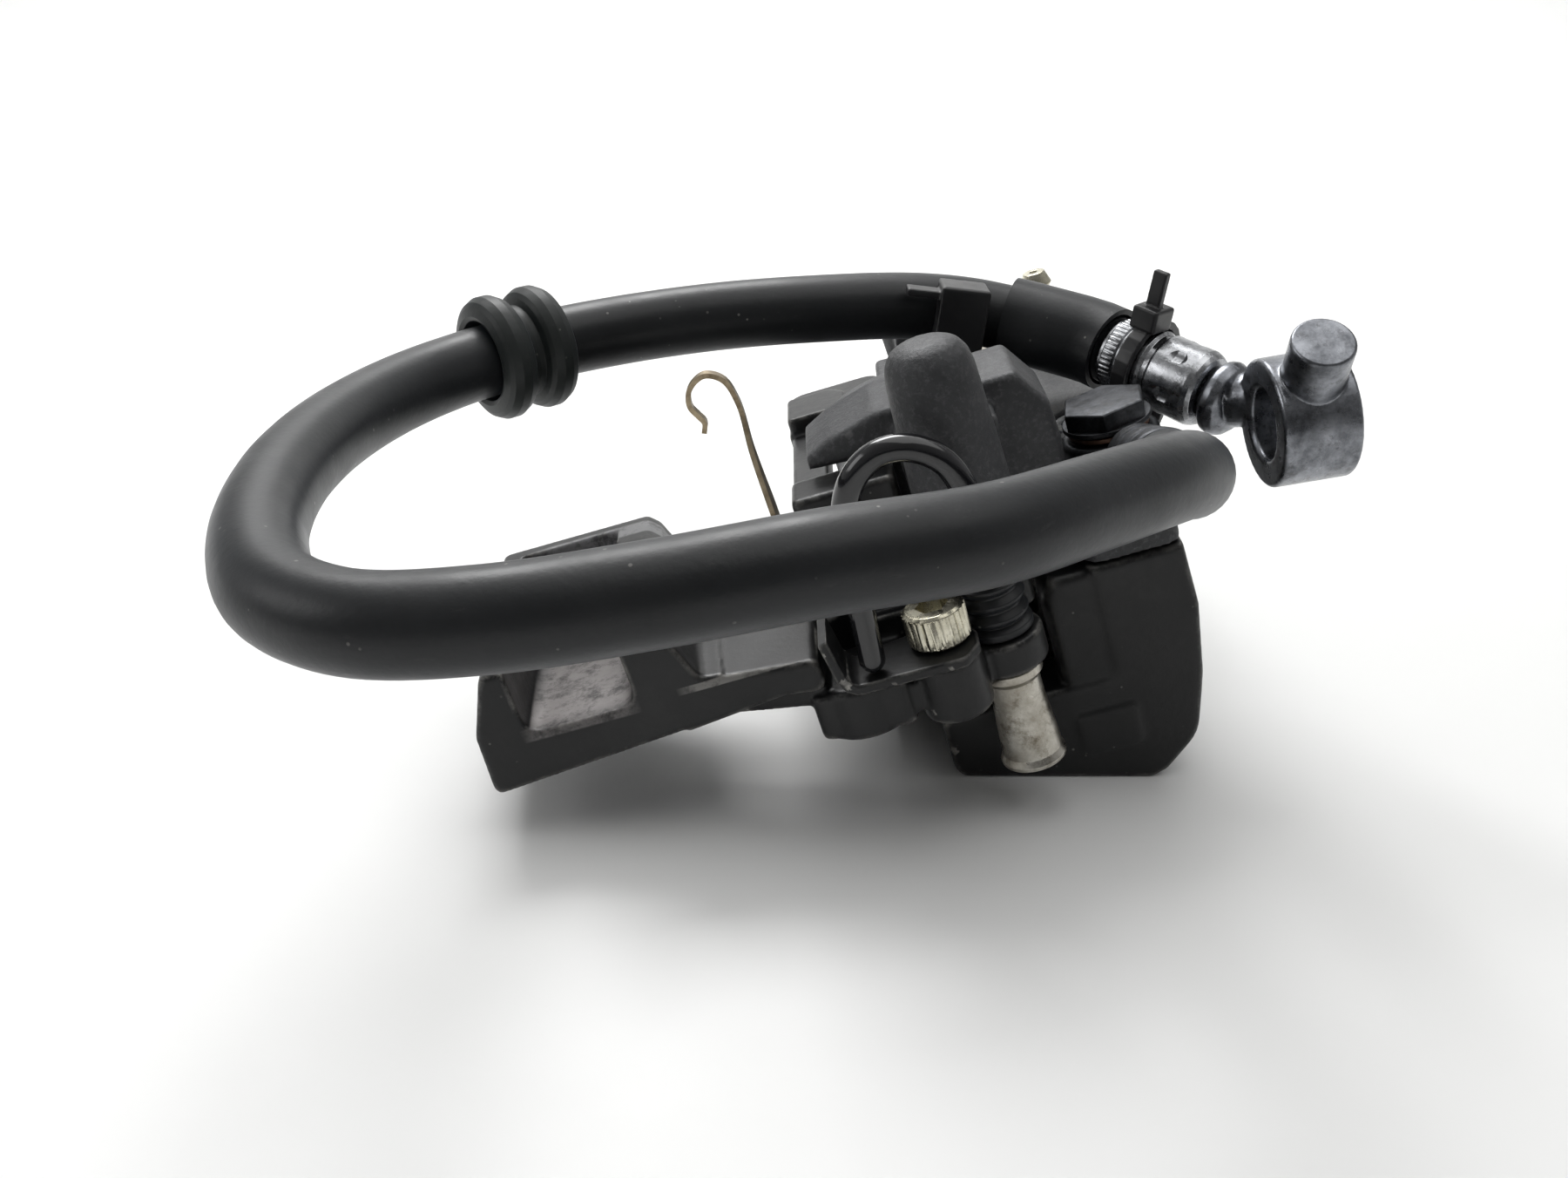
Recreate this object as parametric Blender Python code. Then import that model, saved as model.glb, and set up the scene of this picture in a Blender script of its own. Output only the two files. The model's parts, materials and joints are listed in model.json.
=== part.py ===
"""Single-piston floating disc brake caliper with its carrier bracket and brake hose.

Two frames are used. The axle frame has z along the wheel axle (the direction in which the
piston and the slide pins move), x radially outwards towards the bridge, and y along the disc's
tangent. The row frame has +Z up from the table. The caliper lies on the flat of its outer half,
so the axle frame leans by LEAN about the row frame's Y axis.
All lengths below are in millimetres; the last step turns every object into metres.
"""
import math

import bmesh
import bpy
from mathutils import Matrix, Vector

for _ob in list(bpy.data.objects):
    bpy.data.objects.remove(_ob, do_unlink=True)

# ---------------------------------------------------------------- driving dimensions (mm)
MM = 0.001
GAP = 0.3                       # clearance between neighbouring pieces
LEAN = math.radians(17.0)       # lean of the axle axis in the resting pose
PIVOT = (25.0, 235.0, 20.0)     # axle-frame origin in the set-out frame
SHIFT = (-7.755, -232.4, 0.0)         # set-out frame to row frame

BODY_HALF_LEN = 43.0            # half length of the caliper body along y
BRIDGE_X0, BRIDGE_X1 = 20.0, 33.4
PARTING_Z = 8.0                 # joint plane between the two halves
FLANGE_TOP_Z = 16.6
PISTON_X, PISTON_R = 4.0, 12.65
BORE_R = 12.7
BORE_Z0, BORE_Z1 = 13.7, 22.2
HOUSING_R, HOUSING_TOP = 16.0, 25.6
SEAL_Z0, SEAL_Z1, SEAL_R = 15.7, 17.1, 14.5
DUST_Z0, DUST_Z1, DUST_R = 14.2, 15.2, 14.1

PIN_X, PIN_Y = 6.25, 50.0       # slide-pin axes at (PIN_X, -PIN_Y) and (PIN_X, +PIN_Y)
PIN_R = 3.0
BOSS_R, BOSS_Z0, BOSS_TOP = 6.3, 16.6, 48.0
EYE_R, EYE_Z0, EYE_Z1 = 5.7, 1.5, 6.3
SLEEVE_Z0, SLEEVE_Z1 = -14.3, 1.2

SLOT_Z0, SLOT_Z1 = -4.5, 2.5   # free space for the disc
PAD_X0, PAD_X1, PAD_HALF = -13.0, 17.4, 32.2
PLATE_T, LINING_T = 3.6, 3.0
STROKE = 4.8                    # piston travel from fully back
BANJO_X, BANJO_Y = 29.2, -23.0  # inlet
BANJO_SEAT = 11.6               # step in the flange that the inlet fitting stands on
BOLT_X, BOLT_YS = 26.7, (-8.6, 36.5)   # body bolts, front and rear
REAR_TOP = 29.0                 # top of the short rear boss
SLOPE = ((7.0, 30.6), (21.5, 22.6))   # top of the housing under the hose

HOSE_R = 5.25
SLEEVE_R = 6.6
FERRULE_R = 5.9
EYE_OD_R, EYE_ID_R, EYE_T = 9.15, 5.1, 11.0
STOP_PIN_R = 4.35
WIRE_R = 1.75
STAY_T = 1.5
BOLT_R, BOLT_HEAD_R, BOLT_HEAD_H = 2.4, 4.25, 5.0

# ---------------------------------------------------------------- frames
SET_OUT = Matrix.Translation(Vector(SHIFT))
AXLE = SET_OUT @ Matrix.Translation(Vector(PIVOT)) @ Matrix.Rotation(-LEAN, 4, 'Y')


def base_z(x):
    """Height in the axle frame of the table plane under axle-frame x."""
    return -(PIVOT[2] + x * math.sin(LEAN)) / math.cos(LEAN)


# ---------------------------------------------------------------- materials
def material(name, colour, metallic, roughness):
    mat = bpy.data.materials.new(name)
    mat.use_nodes = True
    shader = mat.node_tree.nodes["Principled BSDF"]
    shader.inputs["Base Color"].default_value = (*colour, 1.0)
    shader.inputs["Metallic"].default_value = metallic
    shader.inputs["Roughness"].default_value = roughness
    return mat


BLACK_PAINT = material("black_paint", (0.02, 0.02, 0.022), 0.0, 0.45)
GREY_CAST = material("grey_cast", (0.14, 0.14, 0.145), 0.3, 0.6)
STEEL = material("bare_steel", (0.45, 0.44, 0.42), 1.0, 0.35)
ZINC = material("zinc_plate", (0.62, 0.58, 0.46), 1.0, 0.3)
DARK_STEEL = material("dark_zinc", (0.2, 0.21, 0.22), 1.0, 0.3)
RUBBER = material("rubber", (0.03, 0.03, 0.033), 0.0, 0.6)
NYLON = material("black_nylon", (0.015, 0.015, 0.017), 0.0, 0.35)
GLOSS_BLACK = material("gloss_black", (0.01, 0.01, 0.012), 0.0, 0.12)
SPRING = material("spring_steel", (0.35, 0.3, 0.2), 1.0, 0.35)
FRICTION = material("friction", (0.1, 0.09, 0.08), 0.1, 0.9)
COPPER = material("copper", (0.6, 0.3, 0.18), 1.0, 0.35)


# ---------------------------------------------------------------- mesh helpers
def put(name, bm, mat=None, frame=AXLE, origin=(0.0, 0.0, 0.0), smooth=35.0):
    """Turn a bmesh in millimetres into an object whose origin is at the given frame point."""
    bmesh.ops.remove_doubles(bm, verts=bm.verts, dist=0.0005)
    bmesh.ops.recalc_face_normals(bm, faces=bm.faces)
    mesh = bpy.data.meshes.new(name)
    pivot = frame @ Vector(origin)
    for v in bm.verts:
        v.co = frame @ v.co - pivot
    bm.to_mesh(mesh)
    bm.free()
    ob = bpy.data.objects.new(name, mesh)
    ob.location = pivot
    bpy.context.scene.collection.objects.link(ob)
    if mat:
        mesh.materials.append(mat)
    shade(ob, smooth)
    return ob


def shade(ob, angle):
    """Smooth shading on every face, sharp where faces meet at more than the angle."""
    bm = bmesh.new()
    bm.from_mesh(ob.data)
    limit = math.radians(angle)
    for f in bm.faces:
        f.smooth = True
    for e in bm.edges:
        e.smooth = len(e.link_faces) == 2 and e.calc_face_angle(0.0) < limit
    bm.to_mesh(ob.data)
    bm.free()


def split(ob):
    """Split every face into triangles, so the Boolean reads flat faces only."""
    bm = bmesh.new()
    bm.from_mesh(ob.data)
    bmesh.ops.remove_doubles(bm, verts=bm.verts, dist=0.0001)
    bmesh.ops.triangulate(bm, faces=bm.faces)
    bm.to_mesh(ob.data)
    bm.free()


def combine(base, tool, operation):
    """Boolean of two objects; the tool is used up."""
    split(base)
    split(tool)
    tool.hide_render = True
    tool.display_type = 'WIRE'
    mod = base.modifiers.new(operation.title(), 'BOOLEAN')
    mod.operation = operation
    mod.solver = 'EXACT'
    mod.object = tool
    bpy.context.view_layer.update()
    graph = bpy.context.evaluated_depsgraph_get()
    mesh = bpy.data.meshes.new_from_object(base.evaluated_get(graph))
    base.modifiers.clear()
    old = base.data
    mesh.name = base.name
    base.data = mesh
    bpy.data.meshes.remove(old)
    bpy.data.objects.remove(tool, do_unlink=True)
    return base


def add(base, *tools):
    for tool in tools:
        combine(base, tool, 'UNION')
    return base


def cut(base, *tools):
    for tool in tools:
        combine(base, tool, 'DIFFERENCE')
    return base


def finish(ob, mat, smooth=35.0):
    """Clean a Boolean result and give it its one material."""
    bm = bmesh.new()
    bm.from_mesh(ob.data)
    bmesh.ops.remove_doubles(bm, verts=bm.verts, dist=0.0005)
    bmesh.ops.dissolve_degenerate(bm, edges=bm.edges, dist=0.0005)
    bmesh.ops.dissolve_limit(bm, angle_limit=math.radians(0.5), verts=bm.verts, edges=bm.edges)
    bmesh.ops.triangulate(bm, faces=bm.faces)
    bmesh.ops.remove_doubles(bm, verts=bm.verts, dist=0.0005)
    bmesh.ops.recalc_face_normals(bm, faces=bm.faces)
    bm.to_mesh(ob.data)
    bm.free()
    ob.data.materials.clear()
    ob.data.materials.append(mat)
    for f in ob.data.polygons:
        f.material_index = 0
    shade(ob, smooth)
    return ob


def rounded(points, radius, steps=3):
    """Polygon with each corner rounded; radius is one number or one per corner."""
    n = len(points)
    radii = [radius] * n if isinstance(radius, (int, float)) else list(radius)
    out = []
    for i in range(n):
        p = Vector(points[i])
        a = Vector(points[i - 1]) - p
        b = Vector(points[(i + 1) % n]) - p
        r = radii[i]
        if r <= 0.0:
            out.append(tuple(p))
            continue
        half = a.angle(b) / 2.0
        back = min(r / math.tan(half), 0.48 * a.length, 0.48 * b.length)
        p0, p1 = p + a.normalized() * back, p + b.normalized() * back
        for k in range(steps + 1):
            t = k / steps
            q = p0 * (1 - t) ** 2 + p * 2 * t * (1 - t) + p1 * t ** 2
            out.append(tuple(q))
    return out


def prism(points, low, high, axis='z', bevel=0.0, segments=1):
    """Closed bmesh of a polygon pushed along an axis, with its two end rims bevelled."""
    place = {'z': lambda u, v, w: (u, v, w), 'y': lambda u, v, w: (u, w, v), 'x': lambda u, v, w: (w, u, v)}[axis]
    bm = bmesh.new()
    lower = [bm.verts.new(place(p[0], p[1], low)) for p in points]
    upper = [bm.verts.new(place(p[0], p[1], high)) for p in points]
    ends = [bm.faces.new(lower), bm.faces.new(list(reversed(upper)))]
    n = len(points)
    for i in range(n):
        j = (i + 1) % n
        bm.faces.new((lower[i], upper[i], upper[j], lower[j]))
    bmesh.ops.recalc_face_normals(bm, faces=bm.faces)
    if bevel > 0.0:
        rims = list({e for f in ends for e in f.edges})
        bmesh.ops.bevel(bm, geom=rims, offset=bevel, segments=segments, profile=0.5, affect='EDGES', clamp_overlap=True)
    return bm


def box(x0, x1, y0, y1, z0, z1, bevel=0.0):
    bm = prism([(x0, y0), (x1, y0), (x1, y1), (x0, y1)], z0, z1)
    if bevel > 0.0:
        bmesh.ops.bevel(bm, geom=list(bm.edges), offset=bevel, segments=2, profile=0.5, affect='EDGES', clamp_overlap=True)
    return bm


def circle(cx, cy, r, n=24, start=0.0):
    return [(cx + r * math.cos(start + 2 * math.pi * k / n), cy + r * math.sin(start + 2 * math.pi * k / n)) for k in range(n)]


def disc(cx, cy, r, z0, z1, n=22, bevel=0.0):
    return prism(circle(cx, cy, r, n), z0, z1, bevel=bevel)


def lathe(profile, n=32, centre=(0.0, 0.0, 0.0), direction=(0.0, 0.0, 1.0)):
    """Solid of revolution. profile is a closed list of (radius, height)."""
    turn = Vector((0, 0, 1)).rotation_difference(Vector(direction).normalized()).to_matrix()
    middle = Vector(centre)
    bm = bmesh.new()
    rings = []
    for r, h in profile:
        if r < 1e-6:
            v = bm.verts.new(middle + turn @ Vector((0, 0, h)))
            rings.append([v] * n)
        else:
            rings.append([bm.verts.new(middle + turn @ Vector((r * math.cos(2 * math.pi * k / n), r * math.sin(2 * math.pi * k / n), h)))
                          for k in range(n)])
    for i in range(len(profile)):
        a, b = rings[i], rings[(i + 1) % len(profile)]
        for k in range(n):
            m = (k + 1) % n
            corners = []
            for v in (a[k], a[m], b[m], b[k]):
                if v not in corners:
                    corners.append(v)
            if len(corners) > 2:
                bm.faces.new(corners)
    return bm


def smooth_route(points, count, closed=False):
    """Evenly spaced points on a centripetal Catmull-Rom curve through the route's points."""
    pts = [Vector(p) for p in points]
    if closed:
        pts = [pts[-1]] + pts + [pts[0], pts[1]]
    else:
        pts = [pts[0] * 2 - pts[1]] + pts + [pts[-1] * 2 - pts[-2]]
    fine = []
    for i in range(1, len(pts) - 2):
        p0, p1, p2, p3 = pts[i - 1:i + 3]
        t0 = 0.0
        t1 = t0 + (p1 - p0).length ** 0.5
        t2 = t1 + (p2 - p1).length ** 0.5
        t3 = t2 + (p3 - p2).length ** 0.5
        for k in range(24):
            t = t1 + (t2 - t1) * k / 24.0
            a1 = p0 * ((t1 - t) / (t1 - t0)) + p1 * ((t - t0) / (t1 - t0))
            a2 = p1 * ((t2 - t) / (t2 - t1)) + p2 * ((t - t1) / (t2 - t1))
            a3 = p2 * ((t3 - t) / (t3 - t2)) + p3 * ((t - t2) / (t3 - t2))
            b1 = a1 * ((t2 - t) / (t2 - t0)) + a2 * ((t - t0) / (t2 - t0))
            b2 = a2 * ((t3 - t) / (t3 - t1)) + a3 * ((t - t1) / (t3 - t1))
            fine.append(b1 * ((t2 - t) / (t2 - t1)) + b2 * ((t - t1) / (t2 - t1)))
    fine.append(pts[-2])
    run = [0.0]
    for a, b in zip(fine, fine[1:]):
        run.append(run[-1] + (b - a).length)
    out = []
    j = 0
    steps = count if closed else count - 1
    for k in range(count):
        want = run[-1] * k / steps
        while j < len(run) - 2 and run[j + 1] < want:
            j += 1
        span = run[j + 1] - run[j]
        out.append(fine[j].lerp(fine[j + 1], (want - run[j]) / span if span > 0 else 0.0))
    return out


def route_length(points):
    return sum((b - a).length for a, b in zip(points, points[1:]))


def sweep(points, section, up, closed=False):
    """Closed body of a section (list of (across, up) pairs, or a function of 0..1) swept along points."""
    up = Vector(up)
    bm = bmesh.new()
    rings = []
    n = len(points)
    for i, p in enumerate(points):
        if closed:
            t = (points[(i + 1) % n] - points[i - 1]).normalized()
        else:
            t = (points[min(i + 1, n - 1)] - points[max(i - 1, 0)]).normalized()
        side = t.cross(up).normalized()
        rise = side.cross(t).normalized()
        shape = section(i / (n - 1)) if callable(section) else section
        rings.append([bm.verts.new(p + side * a + rise * b) for a, b in shape])
    m = len(rings[0])
    pairs = list(zip(rings, rings[1:])) + ([(rings[-1], rings[0])] if closed else [])
    for a, b in pairs:
        for k in range(m):
            j = (k + 1) % m
            bm.faces.new((a[k], a[j], b[j], b[k]))
    if not closed:
        bm.faces.new(rings[0])
        bm.faces.new(list(reversed(rings[-1])))
    return bm


def tube_along(points, outer, inner, n=24):
    """Hollow tube along points."""
    count = len(points)
    side = (points[1] - points[0]).orthogonal().normalized()
    shells = ([], [])
    bm = bmesh.new()
    for i in range(count):
        t = (points[min(i + 1, count - 1)] - points[max(i - 1, 0)]).normalized()
        side = (side - t * side.dot(t)).normalized()
        o = t.cross(side)
        for shell, r in zip(shells, (outer, inner)):
            shell.append([bm.verts.new(points[i] + (side * math.cos(2 * math.pi * k / n) + o * math.sin(2 * math.pi * k / n)) * r) for k in range(n)])
    rings = shells[0] + list(reversed(shells[1]))
    for a, b in zip(rings, rings[1:] + rings[:1]):
        for k in range(n):
            j = (k + 1) % n
            bm.faces.new((a[k], a[j], b[j], b[k]))
    return bm


def round_wire(points, radius, n=14, dome=True):
    """Round wire along points with a domed end each side."""
    bm = bmesh.new()
    count = len(points)
    tangents = [(points[min(i + 1, count - 1)] - points[max(i - 1, 0)]).normalized() for i in range(count)]
    side = tangents[0].orthogonal().normalized()
    stations = []
    for i in range(count):
        side = (side - tangents[i] * side.dot(tangents[i])).normalized()
        stations.append((points[i], tangents[i], side.copy(), radius))
    if dome:
        first, last = stations[0], stations[-1]
        caps0 = [(first[0] - first[1] * radius * math.sin(a), first[1], first[2], radius * math.cos(a)) for a in (1.2, 0.8, 0.4)]
        caps1 = [(last[0] + last[1] * radius * math.sin(a), last[1], last[2], radius * math.cos(a)) for a in (0.4, 0.8, 1.2)]
        stations = caps0 + stations + caps1
    rings = []
    for p, t, s, r in stations:
        o = t.cross(s)
        rings.append([bm.verts.new(p + (s * math.cos(2 * math.pi * k / n) + o * math.sin(2 * math.pi * k / n)) * r) for k in range(n)])
    for a, b in zip(rings, rings[1:]):
        for k in range(n):
            j = (k + 1) % n
            bm.faces.new((a[k], a[j], b[j], b[k]))
    bm.faces.new(rings[0])
    bm.faces.new(list(reversed(rings[-1])))
    return bm


# ---------------------------------------------------------------- outer half (black block)
def outer_half():
    right = [(BRIDGE_X1, PARTING_Z), (BRIDGE_X1 + 0.4, -2.0), (BRIDGE_X1 - 1.0, -13.0), (BRIDGE_X1 - 3.4, -22.5)]
    foot_r, foot_l = 20.5, -3.8
    profile = [(-5.4, -9.5), (BRIDGE_X0, -9.5), (BRIDGE_X0, PARTING_Z)] + right + [
        (foot_r + 4.0, base_z(foot_r + 4.0) + 1.2), (foot_r, base_z(foot_r) - 1.2), (foot_l, base_z(foot_l) - 1.5), (-5.4, base_z(foot_l) + 1.6)]
    radii = [1.2, 2.0, 0.0, 0.0, 0.0, 4.0, 7.0, 3.0, 0.0, 0.0, 1.5]
    body = put("caliper_outer", prism(rounded(profile, radii, 4), -BODY_HALF_LEN, BODY_HALF_LEN, 'y', bevel=2.4, segments=2))
    claw = [(-22.0, -9.0), (2.0, -9.1), (2.0, base_z(2.0) - 0.7), (-20.4, base_z(-20.4) - 0.9), (-22.0, base_z(-20.6) + 1.2)]
    add(body, put("claw", prism(rounded(claw, [1.5, 0.0, 0.0, 0.0, 0.0], 3), -20.0, BODY_HALF_LEN - 3.0, 'y', bevel=0.8)))
    cheek = prism(rounded([(12.9, -11.0), (24.0, -11.0), (24.0, PARTING_Z - 0.4), (14.4, PARTING_Z - 0.4), (12.9, 5.0)], [0.0, 0.0, 0.0, 1.5, 1.5], 3),
                  -BODY_HALF_LEN + 0.35, -33.1, 'y', bevel=1.6, segments=2)
    add(body, put("cheek", cheek))
    pocket_floor = SLOT_Z0 - LINING_T - PLATE_T - 2 * GAP
    cut(body,
        put("pad_pocket", box(PAD_X0 - 0.5, PAD_X1 + 2.2, -PAD_HALF - GAP, PAD_HALF + GAP, pocket_floor, 5.0)),
        put("pin_hole", disc(16.0, 25.0, 2.2, -21.0, 0.0, 16)))
    cut(body, put("table_flat", prism([(-60.0, base_z(-60.0)), (60.0, base_z(60.0)), (60.0, -70.0), (-60.0, -70.0)], -80.0, 80.0, 'y')))
    for y in BOLT_YS:
        cut(body, put("bolt_hole", disc(BOLT_X, y, 3.3, -12.0, 20.0, 20)))
    cut(body, put("inlet_end", disc(BANJO_X, BANJO_Y, 3.7, 4.2, 20.0, 20)))
    add(body, put("foundry_pad", prism(rounded([(13.5, -21.0), (22.0, -21.0), (22.0, -14.5), (13.5, -14.5)], 1.0, 3),
                                       -BODY_HALF_LEN - 0.45, -BODY_HALF_LEN + 1.5, 'y')))
    return finish(body, BLACK_PAINT)


# ---------------------------------------------------------------- inner half (grey casting)
def boss(sign):
    """Blind slide-pin boss with a domed top, closed above."""
    top = BOSS_TOP if sign < 0 else REAR_TOP
    profile = [(0.0, BOSS_Z0), (BOSS_R, BOSS_Z0), (BOSS_R + 0.3, BOSS_Z0 + 6.0), (BOSS_R + 0.1, BOSS_Z0 + 0.43 * (top - BOSS_Z0)), (BOSS_R - 0.5, top - 4.2),
               (BOSS_R - 0.9, top - 2.3), (BOSS_R - 1.9, top - 0.8), (BOSS_R - 3.4, top - 0.1), (0.0, top)]
    return lathe(profile, 20, (PIN_X, sign * PIN_Y, 0.0))


def inner_half():
    body = put("caliper_inner", disc(PISTON_X, 0.0, HOUSING_R, BORE_Z0, HOUSING_TOP, 32, bevel=2.0))
    flange = prism(rounded([(BRIDGE_X0 - 9.0, -31.0), (BRIDGE_X0 - 0.5, -BODY_HALF_LEN), (BRIDGE_X1 - 0.4, -BODY_HALF_LEN),
                            (BRIDGE_X1 - 0.4, BODY_HALF_LEN), (BRIDGE_X0 - 0.5, BODY_HALF_LEN), (BRIDGE_X0 - 9.0, 31.0)],
                           [3.0, 4.0, 4.5, 4.5, 4.0, 3.0], 4), PARTING_Z + 5.4, FLANGE_TOP_Z, 'z', bevel=1.2)
    rib = prism(rounded([(BRIDGE_X0, -BODY_HALF_LEN), (BRIDGE_X1, -BODY_HALF_LEN), (BRIDGE_X1, BODY_HALF_LEN), (BRIDGE_X0, BODY_HALF_LEN)],
                        [2.6, 2.6, 2.6, 2.6], 4), PARTING_Z + GAP, PARTING_Z + 6.5)
    add(body, put("flange", flange), put("rib", rib))
    top = [(-13.2, 30.7), (-13.0, 32.6), (-9.0, 34.6), (-2.5, 36.4), (17.2, 36.4), (20.8, 31.0), (21.3, 25.0), (20.5, 15.6), (-0.2, 15.6), (-0.9, 29.9)]
    back = [(-10.8, 21.5), (-8.6, 25.0), (-5.0, 26.7), (15.5, 26.7), (20.2, 24.2), (20.1, 15.2), (-5.6, 15.2), (-10.0, 19.0)]
    add(body, put("lug", prism(rounded(top, 0.0), -37.5, -22.6, 'y', bevel=1.4)),
        put("lug_back", prism(rounded(back, 0.0), -24.5, -9.0, 'y', bevel=1.0)),
        put("web", prism(rounded([(1.6, 20.0), (10.9, 20.0), (10.4, 43.0), (2.1, 43.0)], 1.5, 3), -PIN_Y, -34.0, 'y')),
        put("neck", prism(rounded([(1.6, 18.4), (10.9, 18.4), (13.5, 34.0), (-1.0, 34.0)], 1.5, 3), -44.0, -33.0, 'y')),
        put("boss", boss(-1)))
    add(body, put("rear_arm", prism(rounded([(-3.4, 13.9), (20.2, 13.9), (20.2, 18.3), (-2.6, 19.0)], [0.8, 0.0, 0.0, 0.8], 3), 9.5, 43.6, 'y', bevel=0.7)),
        put("rear_web", prism(rounded([(1.5, 17.1), (11.0, 17.1), (10.2, 24.5), (2.3, 24.5)], 1.0, 3), 36.0, PIN_Y, 'y')),
        put("rear_boss", boss(1)))
    cut(body, put("inlet_step", prism([(21.75, -60.0), (60.0, -60.0), (60.0, -14.6), (21.75, -14.6)], BANJO_SEAT, 60.0, 'z')))
    add(body, put("bleed_boss", disc(28.4, 29.0, 5.2, 12.0, 20.0, 24, bevel=0.6)))
    # the top falls away towards the bridge, under the hose
    (xa, za), (xb, zb) = SLOPE
    slope = prism([(xa, za), (xb, zb), (40.0, zb), (40.0, 60.0), (xa, 60.0)], -14.5, 14.5, 'y')
    cut(body, put("slope", slope))
    bore = lathe([(0.0, BORE_Z0 - 5.0), (BORE_R, BORE_Z0 - 5.0), (BORE_R, DUST_Z0), (DUST_R, DUST_Z0), (DUST_R, DUST_Z1), (BORE_R, DUST_Z1),
                  (BORE_R, SEAL_Z0), (SEAL_R, SEAL_Z0), (SEAL_R, SEAL_Z1), (BORE_R, SEAL_Z1), (BORE_R, BORE_Z1), (0.0, BORE_Z1)], 32, (PISTON_X, 0.0, 0.0))
    cut(body, put("bore", bore))
    for sign, depth in ((-1, 43.5), (1, REAR_TOP - 3.3)):
        cut(body, put("pin_bore", disc(PIN_X, sign * PIN_Y, PIN_R + 0.09, BOSS_Z0 - 5.0, depth, 18)))
    for y in BOLT_YS:
        cut(body, put("bolt_bore", disc(BOLT_X, y, 3.4, 0.0, 30.0, 20)), put("bolt_sink", disc(BOLT_X, y, 4.9, 11.6, 30.0, 24)))
    cut(body, put("inlet", disc(BANJO_X, BANJO_Y, 3.7, 0.0, 30.0, 20)),
        put("bleed_hole", disc(28.4, 29.0, 2.6, 10.0, 30.0, 16)),
        put("pad_pin_hole", disc(16.0, 25.0, 2.2, 5.0, 22.5, 16)))
    return finish(body, GREY_CAST)


# ---------------------------------------------------------------- carrier bracket
def shear_back(bm, y0, rate):
    for v in bm.verts:
        v.co.x -= rate * (v.co.y - y0)
    return bm


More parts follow.
